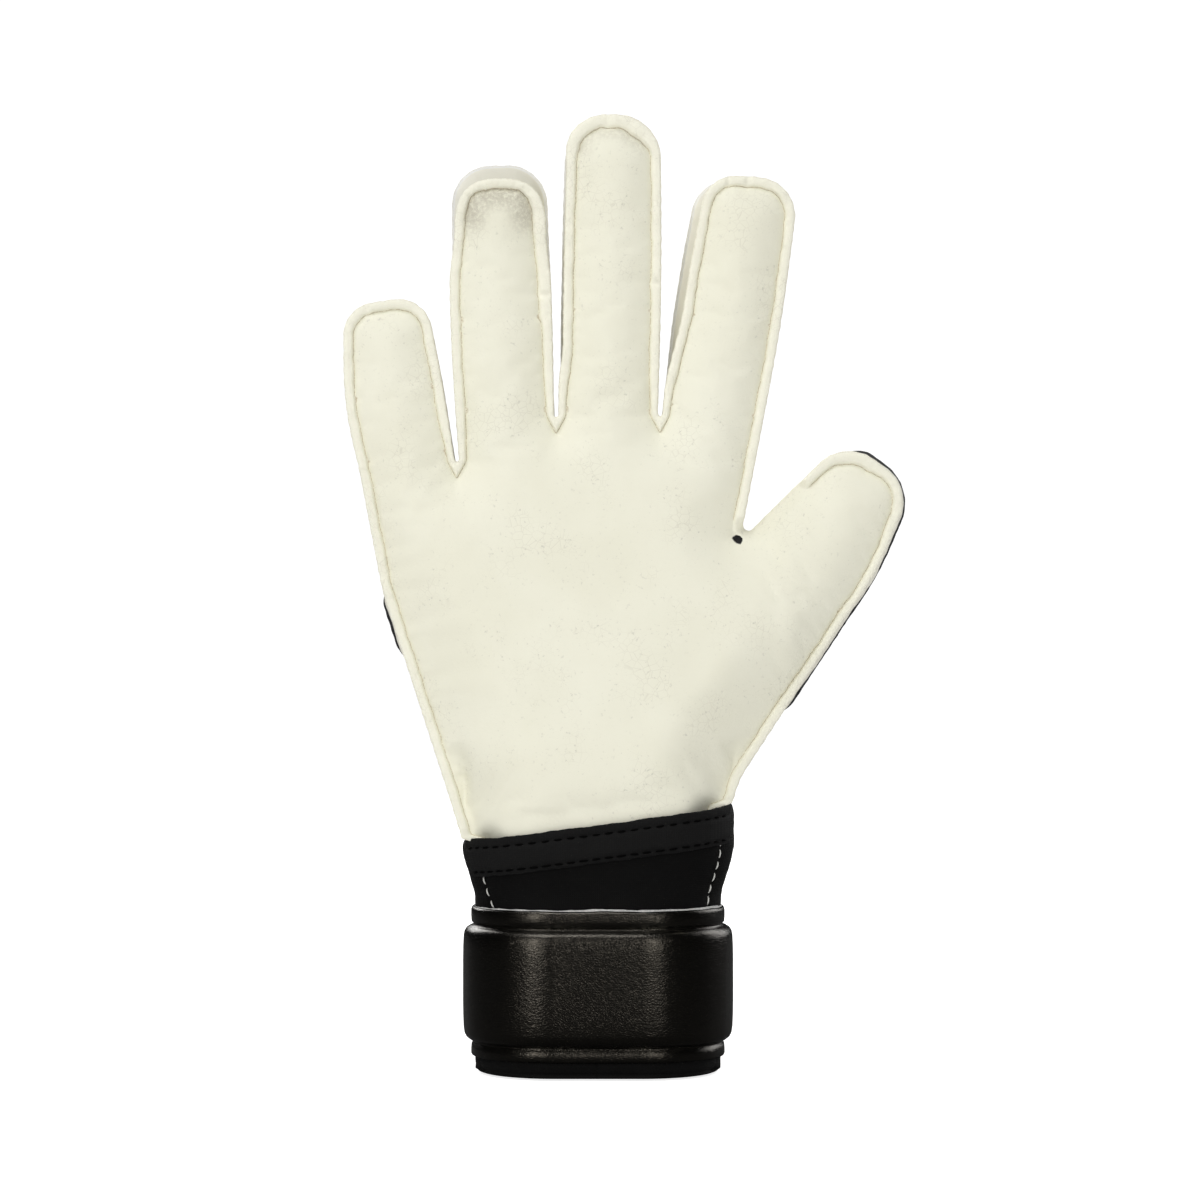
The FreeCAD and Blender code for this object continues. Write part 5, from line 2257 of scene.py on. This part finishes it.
    def facing(self) -> list[bpy.types.Object]:
        """Makes the strap's and the tongue's hide facings.

        Returns:
            The pieces.
        """
        made = []
        for name, node, body, low, high in (
            ("strap_hide", "strap_facing", "hand", 0.3, self.strap_end - 0.08),
            ("tongue_hide", "tongue_facing", "strap_tongue", self.strap_end + 0.08, self.tongue_end),
        ):
            count = int((high - low) / 1.3)
            run = low + (high - low) * (
                0.5 - 0.5 * np.cos(np.linspace(0.0, math.pi, count)) * 0.25 - 0.375 * (
                    1 - 2 * np.linspace(0, 1, count)
                )
            )
            run = low + (run - run[0]) / (run[-1] - run[0]) * (high - low)
            from_end = np.minimum(run - low, high - run)
            joined = (high - run if body == "hand" else run - low) < 2.2
            bare = 1.0 - (1.0 - np.clip(from_end / 2.2, 0.0, 1.0)) ** 2
            end = np.sqrt(np.clip(bare, np.where(joined, 0.5, 0.06), 1.0))
            flat = smooth(
                2 * self.straight + 6.0, 2 * self.straight - 4.0, run
            ) if body == "hand" else np.zeros(count)
            crown = (3.75 - 0.55 * flat) * end
            lift = (1.15 + 0.12 * ripple(64, run, 30.0)) * end
            profiles = self.profile(run, crown, lift)
            if body == "strap_tongue":
                profiles = self.round_end(run, high, profiles)
            piece = self._band(name, run, "strap_facing", profiles)
            made.append(self.hang(piece, body, node))
        return made

    def hang(self, piece: bpy.types.Object, body: str, node: str) -> bpy.types.Object:
        """Seats a band on the cuff, or, for the tongue, bakes its placement into its points and hides its CAD node.

        Args:
            piece: the band.
            body: the body that it belongs to.
            node: the CAD node that it stands for.

        Returns:
            The piece.
        """
        if body == "hand":
            return seat(piece, body, [node])
        middle, half_wall = (self.top + self.bottom) / 2.0, 2.0
        turn_from, turn_to = self.strap_end + 0.3, self.strap_end + 11.0
        root, free = (
            tuple(map(float, self.path(far, middle, half_wall) * MM)) for far in (turn_from, turn_to)
        )
        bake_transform(piece)
        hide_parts(node)
        return piece

    def round_end(self, run: Array, high: float, profiles: Array, radius: float = 9.0) -> Array:
        """Rounds the tongue's free end in outline.

        Args:
            run: places along the course.
            high: where it ends.
            profiles: its profiles.
            radius: the corners' radius.

        Returns:
            The profiles, drawn in at the end.
        """
        near = np.clip((run - (high - radius)) / radius, 0.0, 1.0)
        draw = radius * (1.0 - np.sqrt(np.clip(1.0 - near**2, 0.0, 1.0)))
        middle, half = (self.top + self.bottom) / 2.0, (self.top - self.bottom) / 2.0
        profiles[..., 1] = middle + (profiles[..., 1] - middle) * ((half - draw) / half)[:, None]
        return profiles

    def foam(self) -> list[bpy.types.Object]:
        """Makes the pale foam backing whose cut edge shows above the facing.

        Returns:
            The pieces.
        """
        made = []
        for name, node, body, low, high in (
            ("strap_laminate", "strap_foam", "hand", 0.1, self.strap_end - 0.05),
            ("tongue_laminate", "tongue_foam", "strap_tongue", self.strap_end + 0.05, self.tongue_end - 0.1),
        ):
            run = np.linspace(low, high, int((high - low) / 1.2))
            rise = 0.30 + 0.22 * ripple(65, run, 38.0) + 0.10 * ripple(66, run, 6.0)
            rise = rise + 0.25 * smooth(78.0, 100.0, run) - 0.12
            rows = np.array([0.0, 0.01, 0.2, 0.5, 0.8, 0.99, 1.0])
            height = self.bottom + 0.3 + (self.top - self.bottom - 0.3 + rise)[:, None] * rows[None]
            out = np.repeat(np.array([[0.35, 0.85, 0.9, 0.9, 0.9, 0.85, 0.35]]), len(run), axis=0)
            profiles = ribbon(out, height, np.zeros_like(out) + 0.05)
            if body == "strap_tongue":
                profiles = self.round_end(run, high, profiles)
            piece = self._band(name, run, "strap_foam", profiles)
            made.append(self.hang(piece, body, node))
        return made

    def patch(self, name: str, node: str, body: str, slot: str, bumps: int) -> bpy.types.Object:
        """Makes a sewn-on patch or tab in its CAD node's place.

        Args:
            name: its name.
            node: the CAD node that it stands for.
            body: the body that it rides on.
            slot: its finish.
            bumps: how many ridges run across it.

        Returns:
            The piece.
        """
        low, high = (np.array(corner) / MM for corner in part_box(node))
        wide, tall, deep = high[0] - low[0], high[2] - low[2], high[1] - low[1]
        across, side_a = rounded(34, 0.10)
        up, side_b = rounded(30, 0.08)
        swell = side_a[:, None] * side_b[None, :]
        ridge = 0.10 * deep * np.cos(across * 2.0 * math.pi * bumps)[:, None] * swell
        corner = 1.0 - 0.10 * (1.0 - side_a[:, None])
        x = low[0] + wide * across[:, None] * np.ones_like(up)[None]
        z = low[2] + tall * (0.5 + (up[None] - 0.5) * corner)
        grids = []
        for sign in (1.0, -1.0):
            y = (low[1] + high[1]) / 2.0 + sign * (0.42 * deep * (0.25 + 0.75 * swell) + ridge)
            grids.append(np.stack([x, y, z], axis=-1).reshape(-1, 3))
        faces = two_sheets(len(across), len(up))
        points = np.vstack(grids)
        cloth = points[:, [0, 2, 1]]
        piece = make_object(
            name, points, faces, self.wardrobe[slot], cloth, {"worn": np.zeros(len(points))}
        )
        return seat(piece, body, [node])

    def build(self) -> list[bpy.types.Object]:
        """Makes every piece of the strap.

        Returns:
            The pieces.
        """
        return [
            *self.facing(), *self.foam(),
            self.patch("strap_loop_pile", "strap_loop_patch", "hand", "loop_pile", 0),
            self.patch("tongue_hook_tape", "tongue_hook_patch", "strap_tongue", "hook_tape", 12),
            self.patch("tongue_tab", "tongue_pull_tab", "strap_tongue", "pull_tab", 3),
        ]


# ---------------------------------------------------------------- studio


@dataclass
class Studio:
    """Floor, soft lights and camera."""

    aim: tuple[float, float] = (0.57, 133.3)
    distance: float = 1100.0
    view_width: float = 340.3
    sensor: float = 36.0

    def build(self) -> None:
        """Sets up the studio."""
        scene = bpy.context.scene
        scene.view_settings.view_transform = "Standard"
        self._floor()
        self._world(scene)
        for name, place, size, power, tint in (
            ("key", (-0.30, -0.60, 1.35), (0.9, 0.6), 7.6, (1.0, 1.0, 0.99)),
            ("left_box", (-0.56, -1.02, 0.34), (0.24, 0.7), 2.6, (1.0, 0.97, 0.92)),
            ("right_box", (0.33, -1.13, 0.34), (0.20, 0.7), 1.8, (1.0, 0.97, 0.92)),
            ("fill", (0.9, 0.7, 0.6), (0.8, 0.8), 5.0, (1.0, 1.0, 1.0)),
            ("rear", (-0.6, 1.1, 0.8), (0.8, 0.8), 8.0, (1.0, 1.0, 1.0)),
        ):
            self._light(name, place, size, power, tint)
        camera = bpy.data.cameras.new("camera")
        camera.sensor_width = self.sensor
        camera.lens = self.sensor * self.distance / self.view_width
        camera.clip_start, camera.clip_end = 0.01, 50.0
        holder = bpy.data.objects.new("camera", camera)
        holder.location = (self.aim[0] * MM, -self.distance * MM, self.aim[1] * MM)
        holder.rotation_euler = (math.radians(90.0), 0.0, 0.0)
        bpy.context.collection.objects.link(holder)
        scene.camera = holder

    @staticmethod
    def _floor() -> None:
        """Lays the pale floor."""
        mesh = bpy.data.meshes.new("floor")
        half = 14.0
        mesh.from_pydata(
            [(-half, -half, -0.0005), (half, -half, -0.0005), (half, half, -0.0005), (-half, half, -0.0005)],
            [], [(0, 1, 2, 3)]
        )
        floor = bpy.data.objects.new("floor", mesh)
        bpy.context.collection.objects.link(floor)
        pale = bpy.data.materials.new("Pale floor")
        pale.use_nodes = True
        shader = next(n for n in pale.node_tree.nodes if n.type == "BSDF_PRINCIPLED")
        shader.inputs["Roughness"].default_value = 0.9
        shader.inputs["Emission Color"].default_value = (1.0, 1.0, 1.0, 1.0)
        board = Board(pale.node_tree)
        rays = board.node("LightPath").outputs
        board.tree.links.new(
            board.math("MULTIPLY", rays["Is Camera Ray"], 0.8), shader.inputs["Emission Strength"]
        )
        tone = board.math("SUBTRACT", 0.9, board.math("MULTIPLY", rays["Is Glossy Ray"], 0.86))
        board.tree.links.new(tone, shader.inputs["Base Color"])
        mesh.materials.append(pale)

    @staticmethod
    def _world(scene: bpy.types.Scene) -> None:
        """Lights the surroundings: bright behind, softer as light.

        Args:
            scene: the scene.
        """
        world = bpy.data.worlds.new("studio")
        scene.world = world
        world.use_nodes = True
        board = Board(world.node_tree)
        ground = next(n for n in world.node_tree.nodes if n.type == "BACKGROUND")
        ground.inputs["Color"].default_value = (1.0, 1.0, 1.0, 1.0)
        seen = board.node("LightPath").outputs["Is Camera Ray"]
        glossy = board.node("LightPath").outputs["Is Glossy Ray"]
        strength = board.math(
            "ADD", board.math("MULTIPLY", seen, 0.75), board.math("MULTIPLY", glossy, -0.325)
        )
        board.tree.links.new(board.math("ADD", strength, 0.34), ground.inputs["Strength"])

    @staticmethod
    def _light(
        name: str, place: tuple[float, float, float], size: tuple[float, float], power: float, tint: Colour
    ) -> None:
        """Hangs one soft light that faces the glove.

        Args:
            name: its name.
            place: where it hangs, in metres.
            size: its width and height, in metres.
            power: its power.
            tint: its colour.
        """
        lamp = bpy.data.lights.new(name, "AREA")
        lamp.shape, lamp.energy, lamp.color = "RECTANGLE", power, tint
        lamp.size, lamp.size_y = size
        holder = bpy.data.objects.new(name, lamp)
        holder.location = place
        aim = Vector((0.0, 0.0, 0.13)) - Vector(place)
        holder.rotation_euler = aim.to_track_quat("-Z", "Y").to_euler()
        bpy.context.collection.objects.link(holder)


def main() -> None:
    """Builds the glove piece by piece and logs each piece's name."""
    logging.basicConfig(level=logging.INFO, format="%(message)s")
    Studio().build()
    wardrobe = Wardrobe()
    skin = Skin(wardrobe)
    for piece in skin.build():
        log.info("skin: %s", piece.name)
    log.info("back: %s", BackPads(wardrobe, skin).build().name)
    for maker in (Linings(wardrobe), Cuff(wardrobe), Strap(wardrobe)):
        for piece in maker.build():
            log.info("%s: %s", type(maker).__name__.lower(), piece.name)


if __name__ == "__main__":
    main()
